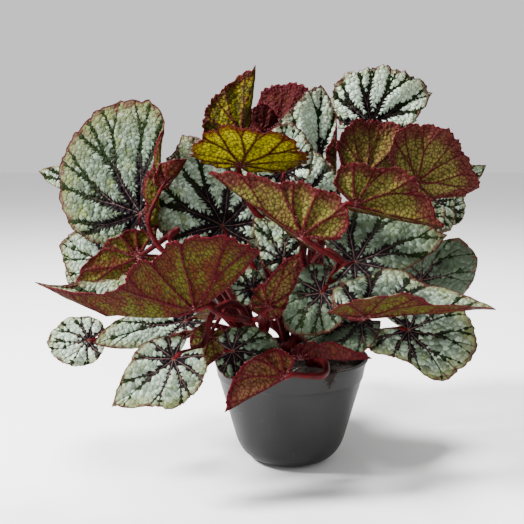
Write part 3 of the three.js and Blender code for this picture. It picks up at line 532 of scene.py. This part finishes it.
def spline(points, count):
    """Centripetal Catmull-Rom curve through the points."""
    pts = [2 * points[0] - points[1], *points, 2 * points[-1] - points[-2]]
    out = []
    per = max(4, count // (len(points) - 1))
    for i in range(1, len(pts) - 2):
        p0, p1, p2, p3 = pts[i - 1:i + 3]
        d0, d1, d2 = (max(1e-4, np.sum((q - p) ** 2) ** 0.25) for p, q in ((p0, p1), (p1, p2), (p2, p3)))
        t1 = ((p1 - p0) / d0 - (p2 - p0) / (d0 + d1) + (p2 - p1) / d1) * d1
        t2 = ((p2 - p1) / d1 - (p3 - p1) / (d1 + d2) + (p3 - p2) / d2) * d1
        square = -3 * p1 + 3 * p2 - 2 * t1 - t2
        cube = 2 * p1 - 2 * p2 + t1 + t2
        out += [p1 + t1 * t + square * t ** 2 + cube * t ** 3 for t in np.arange(per) / per]
    out.append(pts[-2])
    return np.array(out)


def stalk_points(leaf, crown):
    """Middle line of a stalk, from its crown into the base of its blade."""
    fr = blade_frame(leaf)
    if "into" in leaf:
        into = unit(leaf["into"])
    else:
        into = np.array([0, 0, 0.35]) + 0.55 * fr["tangent"] + 0.6 * fr["up"]
        into = unit(into - 0.85 * into.dot(fr["side"]) * fr["side"])
    tip_radius = leaf["stalk"] * STALK_TAPER
    slant = math.sqrt(max(0, 1 - into.dot(fr["tangent"]) ** 2))
    back = float(margin_radius(leaf, fr["length"], 180)) * fr["length"] + STALK_GAP + tip_radius * slant
    end = fr["at"] - fr["tangent"] * back
    start = np.array([crown["at"][0], crown["at"][1], crown["top"] - 4], float)
    way = end - start
    flat = unit([way[0], way[1], 0])
    start = start + flat * crown["radius"] * 0.5
    reach = np.linalg.norm(way)
    last = end - into * min(0.28 * reach, 30)
    if "via" in leaf:
        path = spline([start, *[np.array(p, float) for p in leaf["via"]], last, end], 30)
    else:
        path = bezier((start, start + flat * 0.12 * reach + np.array([0, 0, 0.4 * reach]), last, end), 28)
    # the last stretch runs into the blade, under its base
    under = end * 0.45 + (fr["at"] - fr["up"] * 0.6) * 0.55
    return join([path, [under, fr["at"] - fr["up"] * 0.5]])


def tube_points(path, radii, sides):
    """Rings of points around a curved middle line."""
    ways = unit(np.gradient(path, axis=0))
    normal = unit(np.cross(ways[0], [0.3, 0.9, 0.1]))
    a = circle(sides)
    rings = []
    for p, d, r in zip(path, ways, radii):
        normal = unit(normal - d * normal.dot(d))
        rings.append(p + r * (np.cos(a)[:, None] * normal + np.sin(a)[:, None] * np.cross(d, normal)))
    return np.array(rings)


def rhizome(number, crown, sides, rows):
    """The knobbly rhizome that the stalks grow from, as rings of points."""
    top = crown["top"]
    z = np.linspace(56, top + 5, rows)
    profile = np.interp(z, [56, 58, 66, top - 8, top - 3, top + 2, top + 5],
                        [7.2, 7.6, 9, 9, 10.2, 8.2, 1.5])
    A, Z = np.meshgrid(circle(sides), z)
    lumps = (1 + 0.07 * np.sin(3 * A + Z * 0.5) + 0.05 * np.sin(5 * A - Z * 0.9 + number)
             + 0.03 * np.sin(Z * 2.2))
    # in the soil it stays within its plain hole
    rad = np.minimum(profile[:, None] * lumps, np.where(Z < SOIL_TOP, crown["radius"] + 0.2, 30))
    return np.stack([crown["at"][0] + rad * np.cos(A), crown["at"][1] + rad * np.sin(A), Z], -1)


def build_crown(number, crown, materials):
    rng = np.random.RandomState(50 + number)
    verts, quads, tris, hairs = [], [], [], []
    count = 0

    def add_tube(rings):
        nonlocal count
        rows, sides = rings.shape[:2]
        quads.append(ring_quads(rows, sides, count))
        tris.append(end_caps(rows, sides) + count)
        verts.append(rings.reshape(-1, 3))
        count += rows * sides

    add_tube(rhizome(number, crown, 28, 22))
    sides = 10
    for leaf in LEAVES:
        if leaf["crown"] != number:
            continue
        path = stalk_points(leaf, crown)
        n = len(path)
        t = np.linspace(0, 1, n)
        radii = leaf["stalk"] * mix(1.3, STALK_TAPER, t)
        radii *= 1 + 0.05 * np.sin(9 * t + leaf["seed"])
        radii[-2:] *= [0.9, 0.6]
        rings = tube_points(path, radii, sides)
        add_tube(rings)
        total = int(2.6 * np.sum(np.linalg.norm(np.diff(path, axis=0), axis=1)))
        ring = rng.randint(1, n - 2, total)
        column = rng.randint(0, sides, total)
        share = rng.rand(total, 1)
        base = mix(rings[ring, column], rings[ring + 1, column], share)
        outward = unit(base - mix(path[ring], path[ring + 1], share))
        hairs.append(spikes(base - outward * 0.1, outward, 0.45, 0.8, 1.5, 0.08, rng))

    hair_tris = []
    for points, faces in hairs:
        verts.append(points)
        hair_tris.append(faces + count)
        count += len(points)
    faces = [join(part) for part in (quads, tris, hair_tris)]
    obj = make_mesh(crown["name"].replace("crown", "stalks"), join(verts), faces, materials,
                    np.repeat([0, 0, 1], [len(f) for f in faces]))
    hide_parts(crown["name"])
    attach(obj, "root")


# Pot and soil.
def wall_radius(z):
    return mix(BOTTOM_RADIUS, WALL_TOP_RADIUS, z / (POT_HEIGHT - 10))


def corner_point(t):
    """Point of the rounded lower corner: radius and height."""
    r = (1 - t) ** 2 * FLAT_RADIUS + 2 * t * (1 - t) * BOTTOM_RADIUS + t * t * wall_radius(CORNER_HEIGHT)
    return (r, t * t * CORNER_HEIGHT)


def turned(profile, sides):
    """A closed turned body: the profile runs from the axis below, out and up, and back in to the axis."""
    rings = [ring_points(r, z, sides) for r, z in profile[1:-1]]
    verts = join([[(0, 0, profile[0][1])], *rings, [(0, 0, profile[-1][1])]])
    caps = [fan(0, 1, sides)[:, [0, 2, 1]], fan(len(verts) - 1, 1 + (len(rings) - 1) * sides, sides)]
    return verts, ring_quads(len(rings), sides, 1), join(caps)


def build_pot(material):
    top, wall, rim = POT_HEIGHT, WALL_TOP_RADIUS, RIM_RADIUS
    band = top - BAND_HEIGHT
    neck = wall_radius(band)
    corner = corner_point(0.6)
    outer = [(0, 0), (10, 0), (FLAT_RADIUS - 0.6, 0)]
    outer += [corner_point(t) for t in np.linspace(0.06, 1, 14)]
    outer += [(wall_radius(z), z) for z in np.linspace(CORNER_HEIGHT + 5, band - 1.0, 9)]
    # rounded step under the band, the band, and the flared lip
    outer += [(neck + 0.05, band - 0.3), (neck + 0.5, band + 0.2), (neck + 0.85, band + 0.9),
              (neck + 0.95, band + 1.8), (mix(neck, wall, 0.6) + 0.9, top - 9), (wall + 0.9, top - 6),
              (wall + 1.3, top - 4.4), (rim - 0.6, top - 2.4), (rim - 0.15, top - 1.6), (rim, top - 0.9),
              (rim - 0.2, top - 0.3), (rim - 0.7, top)]
    inner = [(rim - 1.8, top), (rim - 2.4, top - 0.35), (rim - 2.9, top - 1.6), (wall - 1.6, top - 6),
             (neck - 2.2, band), (wall_radius(CORNER_HEIGHT) - 2.2, CORNER_HEIGHT),
             (corner[0] - 1.8, corner[1] + 1.6), (FLAT_RADIUS + 2, 2.2), (0, 2.2)]
    verts, quads, tris = turned(outer + inner, 144)
    # the thin wall isn't quite round
    around = np.arctan2(verts[:, 1], verts[:, 0])
    sag = 0.35 * np.sin(2 * around + 0.6) * np.clip(verts[:, 2] / top, 0, 1) ** 2
    r = np.maximum(np.hypot(verts[:, 0], verts[:, 1]), 1e-6)
    verts[:, :2] *= (1 + sag / r * (r > 5))[:, None]
    obj = make_mesh("nursery_pot", verts, [quads, tris], [material], np.zeros(len(quads) + len(tris)))
    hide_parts("pot")
    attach(obj, "root")


def soil_height(r, edge):
    """Height of the soil, which is heaped a little in the middle."""
    return SOIL_TOP + np.interp(r, [0, 10, 24, 38, 50, edge], [2, 1.8, 1.4, 0.8, -0.5, -3])


def soil_top(edge, sides, rows, rng):
    """Lumpy top of the soil, as rings of points from its edge to the middle."""
    A, R = np.meshgrid(circle(sides), edge * (1 - np.arange(rows) / rows))
    X, Y = R * np.cos(A), R * np.sin(A)
    Z = soil_height(R, edge)
    for scale, size in ((0.11, 1.3), (0.27, 0.7), (0.6, 0.4), (1.3, 0.25)):
        for _ in range(3):
            w = rng.standard_normal(2) * scale * 2.4
            p = rng.rand() * TURN
            one = np.sin(w[0] * X + w[1] * Y + p)
            Z = Z + size * 0.6 * one * np.sin(w[1] * X * 0.8 - w[0] * Y * 0.9 + 2 * p)
    return np.stack([X, Y, np.where(R > edge - 2, np.minimum(Z, SOIL_TOP - 1.5), Z)], -1)


def crumb_shape():
    """An icosahedron, the start of each crumb: its points and its triangles."""
    g = (1 + 5 ** 0.5) / 2
    points = [np.roll((a, b, 0), k) for k in range(3) for b in (g, -g) for a in (-1, 1)]
    faces = [(0, 11, 5), (0, 5, 1), (0, 1, 7), (0, 7, 10), (0, 10, 11), (1, 5, 9), (5, 11, 4),
             (11, 10, 2), (10, 7, 6), (7, 1, 8), (3, 9, 4), (3, 4, 2), (3, 2, 6), (3, 6, 8), (3, 8, 9),
             (4, 9, 5), (2, 4, 11), (6, 2, 10), (8, 6, 7), (9, 8, 1)]
    return np.array(points) / 1.9, np.array(faces)


def build_soil(material, crumb_material):
    rng = np.random.RandomState(5)
    sides, rows = 144, 40
    edge = wall_radius(SOIL_TOP - 3) - 2.9
    corner = corner_point(0.6)
    below = [(FLAT_RADIUS + 1.3, 2.7), (corner[0] - 2.8, corner[1] + 2),
             (wall_radius(CORNER_HEIGHT) - 3.2, CORNER_HEIGHT), (wall_radius(60) - 3.2, 60.0)]
    rings = [ring_points(r, z, sides) for r, z in below]
    top = soil_top(edge, sides, rows, rng).reshape(-1, 3)
    verts = join([*rings, top, [(0, 0, below[0][1]), (0, 0, SOIL_TOP + 2)]])
    n = len(below) + rows
    caps = [fan(len(verts) - 2, 0, sides)[:, [0, 2, 1]], fan(len(verts) - 1, (n - 1) * sides, sides)]

    # crumbs of peat and bark on top, clear of the crowns
    shape, shape_faces = crumb_shape()
    crumbs = []
    for _ in range(620):
        r = (edge - 2) * rng.rand() ** 0.55
        t = 2 * math.pi * rng.rand()
        x, y = r * math.cos(t), r * math.sin(t)
        if min(math.hypot(x - c["at"][0], y - c["at"][1]) for c in CROWNS) < 11:
            continue
        size = 0.5 + 1.3 * rng.rand() ** 2
        turn = np.linalg.qr(rng.standard_normal((3, 3)))[0]
        rough = shape * (0.75 + 0.5 * rng.rand(len(shape), 1)) * size * (0.5 + rng.rand(3))
        crumbs.append(rough @ turn.T + np.array([x, y, soil_height(r, edge) + 0.3]))
    crumb_faces = [shape_faces + len(verts) + i * len(shape) for i in range(len(crumbs))]
    faces = [ring_quads(n, sides), *caps, join(crumb_faces)]
    obj = make_mesh("potting_soil", join([verts, *crumbs]), faces, [material, crumb_material],
                    np.repeat([0, 0, 0, 1], [len(f) for f in faces]), smooth=False)
    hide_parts("soil")
    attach(obj, "root")


# Materials. A colour is written as on a screen, from 0 to 255.
def shader_colour(screen):
    """The same colour as the shader reads it: from 0 to 1, in proportion to the light."""
    return (*(((c / 255 + 0.055) / 1.055) ** 2.4 if c > 10 else c / 255 / 12.92 for c in screen), 1)


class Value:
    """An output of a node: what is reckoned with it becomes further nodes."""

    def __init__(self, graph, socket):
        self.graph = graph
        self.socket = socket

    def math(self, operation, *others, clamp=False):
        return self.graph.node("Math", (self, *others), operation=operation, use_clamp=clamp)

    __add__ = partialmethod(math, "ADD")
    __sub__ = partialmethod(math, "SUBTRACT")
    __mul__ = partialmethod(math, "MULTIPLY")
    __truediv__ = partialmethod(math, "DIVIDE")
    __abs__ = partialmethod(math, "ABSOLUTE")
    at_least = partialmethod(math, "MAXIMUM")
    at_most = partialmethod(math, "MINIMUM")
    sine = partialmethod(math, "SINE")
    root = partialmethod(math, "SQRT")

    def __rsub__(self, other):
        return self.graph.node("Math", (other, self), operation="SUBTRACT")

    def step(self, low, high, out_low=0.0, out_high=1.0):
        """Smooth step of the value from low to high."""
        return self.graph.node("MapRange", (self, low, high, out_low, out_high),
                               interpolation_type="SMOOTHSTEP")

    def parts(self):
        """The three numbers of a vector."""
        node = self.graph.node("SeparateXYZ", (self,)).socket.node
        return [Value(self.graph, socket) for socket in node.outputs]


class Graph:
    """A short way to write a node material."""

    def __init__(self, name):
        self.material = bpy.data.materials.new(name)
        self.material.use_nodes = True
        self.tree = self.material.node_tree
        self.tree.nodes.clear()
        self.skin = self.tree.nodes.new("ShaderNodeBsdfPrincipled")
        end = self.tree.nodes.new("ShaderNodeOutputMaterial")
        self.tree.links.new(self.skin.outputs[0], end.inputs[0])

    def put(self, socket, value):
        if isinstance(value, Value):
            self.tree.links.new(value.socket, socket)
        elif socket.type == "RGBA":
            socket.default_value = shader_colour(value)
        else:
            socket.default_value = value

    def node(self, kind, inputs=(), output=0, **settings):
        """A new node. Inputs are in a row, or by their names."""
        node = self.tree.nodes.new("ShaderNode" + kind)
        for key, value in settings.items():
            setattr(node, key, value)
        named = inputs.items() if isinstance(inputs, dict) else enumerate(inputs)
        for key, value in named:
            self.put(node.inputs[key], value)
        return Value(self, node.outputs[output])

    def place(self):
        return self.node("TexCoord", output="Object")

    def noise(self, scale, detail, vector=None, rough=0.55):
        inputs = {"Scale": scale, "Detail": detail, "Roughness": rough, "Vector": vector or self.place()}
        return self.node("TexNoise", inputs, "Fac")

    def colour(self, share, a, b):
        """Colour b over colour a, by share."""
        return self.node("Mix", {0: share, 6: a, 7: b}, 2, data_type="RGBA")

    def layer(self, name):
        """The two numbers that a blade carries in one of its layers."""
        return self.node("UVMap", uv_map=name).parts()[:2]

    def stirred(self, x, y, mark, scale, amount):
        """The place in the flat blade, in mm, stirred a little and different on each leaf."""
        flat = self.node("CombineXYZ", (x, y, mark * 50.0))
        swirl = self.node("TexNoise", {"Scale": scale, "Detail": 1.0, "Vector": flat}, "Color")
        swirl = self.node("VectorMath", (swirl, (0.5, 0.5, 0.5)), operation="SUBTRACT")
        return self.node("VectorMath", (swirl, (amount, amount, 0), flat), operation="MULTIPLY_ADD")

    def cells(self, vector, scale):
        """Puckers: distance from the middle of a cell, that middle, a random number, and the edge."""
        inputs = {"Scale": scale, "Vector": vector}
        cell = self.node("TexVoronoi", inputs, "Distance", voronoi_dimensions="2D")
        middle, random = (Value(self, cell.socket.node.outputs[key]) for key in ("Position", "Color"))
        edge = self.node("TexVoronoi", inputs, "Distance", voronoi_dimensions="2D",
                         feature="DISTANCE_TO_EDGE")
        return cell, middle, random.parts()[0], edge

    def finish(self, colour, rough, specular=0.5):
        self.put(self.skin.inputs["Base Color"], colour)
        self.put(self.skin.inputs["Roughness"], rough)
        self.put(self.skin.inputs["Specular IOR Level"], specular)
        return self.material

    def bump(self, height, strength, distance):
        """Relief of so many metres for each 1 of height."""
        inputs = {"Strength": strength, "Distance": distance, "Height": height}
        self.put(self.skin.inputs["Normal"], self.node("Bump", inputs))


def vein_nodes(x, y, length, mark):
    """The same veins as in veins(): share of the midrib, and distance in mm to the nearest vein."""
    r = (x * x + y * y).root() / length
    angle = y.math("ARCTAN2", x).math("DEGREES")
    phase = mark * TURN
    sway = (r * SWAY_RATE + phase).sine() * (r * (SWAY / SWAY_FROM)).at_most(SWAY)
    angle = angle + sway * (180.0 - abs(angle)).math("DIVIDE", 30.0, clamp=True)
    k = (angle / VEIN_STEP).math("ROUND").at_most(SIDE_VEINS).at_least(-SIDE_VEINS)
    safe = r.at_least(1e-3)

    def fork(offset, place, shift, spread):
        where = (k * FORK_RATE + shift).sine() * place[1] + place[0]
        opened = (1.0 - where / safe).at_least(0.0) / (1.0 - where)
        return abs(offset) - opened * spread

    a = angle - k * VEIN_STEP
    b = fork(a, FIRST_FORK, phase, VEIN_STEP / 4)
    c = fork(b, SECOND_FORK, a.math("SIGN") * FORK_SIDE + (phase + FORK_SHIFT), VEIN_STEP / 8)
    return r, r * length * abs(c).math("RADIANS")


def blade_layers(g):
    """What a blade carries: place in mm, sizes, share of the way to the margin, and the looks."""
    x, y = g.layer("pattern")
    share, tint = g.layer("share")
    length, mark = g.layer("sizes")
    band, extra = g.layer("band")
    return x * 100.0, y * 100.0, length * 100.0, mark, share, tint, band, extra


def upper_material():
    """Quilted silvery sheet with a dark star along the veins; on leaves in shade the silvering is painted
    darker.
    """
    g = Graph("leaf_upper")
    x, y, length, mark, share, silver, band, relief = blade_layers(g)
    stir = g.stirred(x, y, mark, 0.30, 1.8)
    cell, middle, tint, edge = g.cells(stir, 0.30)
    tint = tint - 0.5
    blotch = g.noise(0.10, 2.0, stir)
    r, gap = vein_nodes(x, y, length, mark)
    cell_gap = vein_nodes(*middle.parts()[:2], length, mark)[1]

    # the dark bands end in short spikes that slant to the margin, and jump from pucker to pucker
    scale = (length / 80.0).root()
    width = ((1.0 - r).at_least(0.0).math("POWER", 1.4) * 4.6 + 1.0) * scale * band
    spike = abs(((r * length - gap * 0.8) / 3.3).math("FRACT") * 2.0 - 1.0)
    reach = width * (spike * spike * 0.55 + 0.62)
    near = cell_gap * 0.45 + (gap * 0.55 + tint * 1.5)
    dark = near.step(reach * 1.12, reach * 0.90).at_least(gap.step(width * 0.48, width * 0.34))

    # silvering, darker on leaves that lie in shade, which is painted shade; yellower in blotches and
    # towards the margin; and darker olive in the valleys between the puckers, partly fine dark green lines
    # and partly painted shade
    light = g.colour((silver + tint * 0.4).step(0.05, 1.0), (62, 73, 60), (192, 213, 192))
    yellow = silver.step(0.12, 0.22)
    light = g.colour(blotch.step(0.52, 0.74) * 0.5 * yellow, light, (120, 132, 62))
    # darker olive in the valleys between the puckers: partly fine dark green lines, partly painted shade
    light = g.colour(edge.step(0.16, 0.0) * 0.5, light, (62, 76, 34))
    light = g.colour(share.step(0.66, 1.0) * 0.5 * yellow, light, (112, 114, 56))

    # bands, purple-black at the base and dark green further out, with a pale line along each vein
    black = g.colour((r + blotch * 0.3).step(0.42, 0.85), (11, 2, 7), (17, 29, 2))
    colour = g.colour(dark, light, black)
    line = gap.step(0.42, 0.16) * r.step(0.6, 0.1, 0.0, 0.62)
    colour = g.colour(line, colour, (122, 94, 88))
    colour = g.colour((r * length).step(1.8, 0.8), colour, (96, 48, 40))

    # brown fringe and a thin red line on the margin
    fringe = (share + tint * 0.12).step(0.925, 0.985)
    colour = g.colour(fringe * 0.85, colour, (70, 40, 26))
    colour = g.colour(share.step(0.975, 0.992), colour, (52, 10, 14))

    dome = 1.0 - (cell * cell * 2.2).at_most(1.0)
    rough = g.noise(1.3, 2.0, stir) * 0.45 + g.noise(0.45, 1.0, stir) * 0.8
    height = dome * 0.75 + ((1.0 - dark) * 0.35 + rough)
    g.bump(height * relief, 1.0, 0.0027)
    return g.finish(colour, dark * 0.10 + (g.noise(0.9, 2.0, stir) * 0.25 + 0.26), 0.08)


def under_material():
    """Burgundy to yellow-green, with red ribs, a net of small veins and a red rim."""
    g = Graph("leaf_under")
    x, y, length, mark, share, tone, _, pale = blade_layers(g)
    stir = g.stirred(x, y, mark, 0.25, 2.2)
    cell, _, tint, edge = g.cells(stir, 0.36)
    fine_edge = g.cells(stir, 0.95)[3]
    blotch = g.noise(0.075, 2.0, stir) - 0.5
    r, gap = vein_nodes(x, y, length, mark)
    width = ((1.0 - r).at_least(0.0) * 0.62 + 0.26) * (length / 80.0).root()
    main = gap.step(width * 1.2, width * 0.7)
    halo = gap.step(width * 4.0, width)

    # the field between the ribs
    shade = tone + (blotch + (tint - 0.5) * 0.16)
    field = g.colour(shade.step(0.0, 0.36), (66, 22, 22), (70, 32, 10))
    field = g.colour(shade.step(0.34, 0.62), field, (72, 72, 16))
    # the brightest yellow-green, which leaf j reaches, is partly painted light shining through the backlit
    # leaf
    field = g.colour(shade.step(0.70, 1.05), field, (176, 166, 8))
    # paler, greyer field: partly the underside's own colour, partly a painted sheen of grazing light
    field = g.colour(pale, field, (134, 128, 66))
    # darker towards the rim of each puffed cell: painted shade of the puckers
    field = g.colour(cell.step(0.15, 0.75) * 0.5, field, (42, 20, 11))
    field = g.colour(fine_edge.step(0.16, 0.04) * 0.25, field, (31, 9, 7))
    field = g.colour(halo * tone.step(0.7, 1.0, 0.35, 0.72), field, (50, 5, 9))

    # the rim, purer red on the yellow leaf, and duller and greyer where the underside is paler, partly its
    # own colour and partly a painted sheen of grazing light
    rim = (share + (blotch * 0.45 + pale * 0.25)).step(0.76, 1.0)
    red = g.colour(pale.step(0.08, 0.5), (56, 1, 13), (74, 18, 28))
    red = g.colour(tone.step(0.8, 1.0), red, (78, 2, 12))
    colour = g.colour(rim * 0.86, field, red)
    colour = g.colour(edge.step(0.11, 0.02) * 0.8, colour, (30, 2, 9))
    colour = g.colour(main * 0.9, colour, (56, 2, 13))
    colour = g.colour(share.step(0.97, 0.99), colour, (72, 2, 14))

    dome = 1.0 - (cell * cell * 2.0).at_most(1.0)
    rough = g.noise(1.3, 2.0, stir) * 0.4 + g.noise(0.4, 1.0, stir)
    g.bump(main * 0.6 + (dome * 0.55 + rough), 0.9, 0.0018)
    return g.finish(colour, g.noise(0.9, 2.0, stir) * 0.25 + 0.33, 0.04)


def stalk_material():
    g = Graph("stalk_skin")
    broad = g.noise(260.0, 4.0)
    fine = g.noise(1500.0, 2.0)
    colour = g.colour(broad.step(0.35, 0.68), (40, 1, 5), (74, 4, 10))
    colour = g.colour(fine.step(0.58, 0.75) * 0.25, colour, (120, 34, 32))
    g.bump(broad * 0.6 + fine * 0.5, 0.5, 0.0005)
    return g.finish(colour, broad * 0.3 + 0.36, 0.07)


def hair_material(name, dark, light):
    g = Graph(name)
    n = g.noise(500.0, 2.0)
    return g.finish(g.colour(n.step(0.35, 0.7), dark, light), n * 0.2 + 0.5, 0.15)


def pot_material():
    """Dark grey plastic, a little dusty, with soil smeared down the front, right of the middle."""
    g = Graph("pot_plastic")
    broad = g.noise(22.0, 4.0)
    fine = g.noise(900.0, 2.0)
    speck = g.noise(260.0, 5.0, rough=0.7)
    colour = g.colour(broad.step(0.3, 0.72), (29, 29, 29), (37, 37, 37))
    colour = g.colour(speck.step(0.60, 0.72) * 0.35, colour, (72, 68, 62))
    x, y, z = g.place().parts()
    near = abs(x - 0.029).step(0.011, 0.0) * y.step(-0.045, -0.055) * z.step(0.066, 0.083)
    smear = (near * 0.55 + g.noise(330.0, 4.0, rough=0.7)).step(0.78, 0.92)
    colour = g.colour(smear, colour, (26, 16, 11))
    g.bump(fine * 0.35 + (speck * 0.3 + smear * 1.5), 0.25, 0.0004)
    return g.finish(colour, broad * 0.14 + fine * 0.10 + (smear * 0.4 + 0.36), 0.2)


def soil_material(name, light):
    g = Graph(name)
    broad = g.noise(190.0, 5.0, rough=0.7)
    fine = g.noise(1200.0, 3.0)
    colour = g.colour(broad.step(0.32, 0.7), (22, 16, 13), light)
    colour = g.colour(fine.step(0.62, 0.75) * 0.6, colour, (84, 62, 44))
    g.bump(broad + fine * 0.5, 0.9, 0.0012)
    return g.finish(colour, broad * 0.25 + 0.7)


# Build.
hair = hair_material("hair", (70, 10, 18), (190, 130, 126))
stalk_hair = hair_material("stalk_hair", (54, 3, 8), (122, 26, 28))
leaf_materials = [upper_material(), under_material(), hair]
for leaf in LEAVES:
    build_leaf(leaf, leaf_materials)

stalk_materials = [stalk_material(), stalk_hair]
for number, crown in enumerate(CROWNS):
    build_crown(number, crown, stalk_materials)

build_pot(pot_material())
build_soil(soil_material("soil", (48, 34, 24)), soil_material("soil_crumbs", (70, 50, 34)))


# Stage, light and camera.
FLOOR_HEIGHT = -0.0004
PHOTO_WIDTH = 524
FOCAL_PIXELS = 848
SENSOR = 36.0
DISTANCE = 0.7
TILT = math.radians(8.3)
LOOKED_AT = (-23.8 * MM, 166.4 * MM)
MIDDLE = (0, 0, 0.16)


def stage_material():
    g = Graph("floor_paint")
    return g.finish(g.noise(3.0, 3.0) * 0.04 + 0.86, 0.8, 0.1)


def area_light(name, place, size, power):
    data = bpy.data.lights.new(name, "AREA")
    data.shape = "DISK"
    data.size = size
    data.energy = power
    obj = add_object(name, data)
    obj.location = place
    obj.rotation_euler = Vector(np.subtract(MIDDLE, place)).to_track_quat("-Z", "Y").to_euler()


floor_mesh = bpy.data.meshes.new("floor")
corners = [(x, y, FLOOR_HEIGHT) for x, y in ((-6, -6), (6, -6), (6, 6), (-6, 6))]
floor_mesh.from_pydata(corners, [], [(0, 1, 2, 3)])
floor_mesh.materials.append(stage_material())
floor = add_object("floor", floor_mesh)

world = bpy.data.worlds.new("studio")
world.use_nodes = True
background = world.node_tree.nodes["Background"]
background.inputs["Color"].default_value = (1, 1, 1, 1)
background.inputs["Strength"].default_value = 0.88
bpy.context.scene.world = world

area_light("key", (-1.1, -0.42, 1.25), 0.4, 112)
area_light("top", (0.15, 0.55, 1.5), 0.5, 48)

camera_data = bpy.data.cameras.new("camera")
camera_data.sensor_width = SENSOR
camera_data.lens = SENSOR * FOCAL_PIXELS / PHOTO_WIDTH
camera_data.clip_start = 0.01
camera_data.clip_end = 100
camera = add_object("camera", camera_data)
camera.location = (LOOKED_AT[0], -DISTANCE * math.cos(TILT), LOOKED_AT[1] + DISTANCE * math.sin(TILT))
camera.rotation_euler = (math.pi / 2 - TILT, 0, 0)
bpy.context.scene.camera = camera
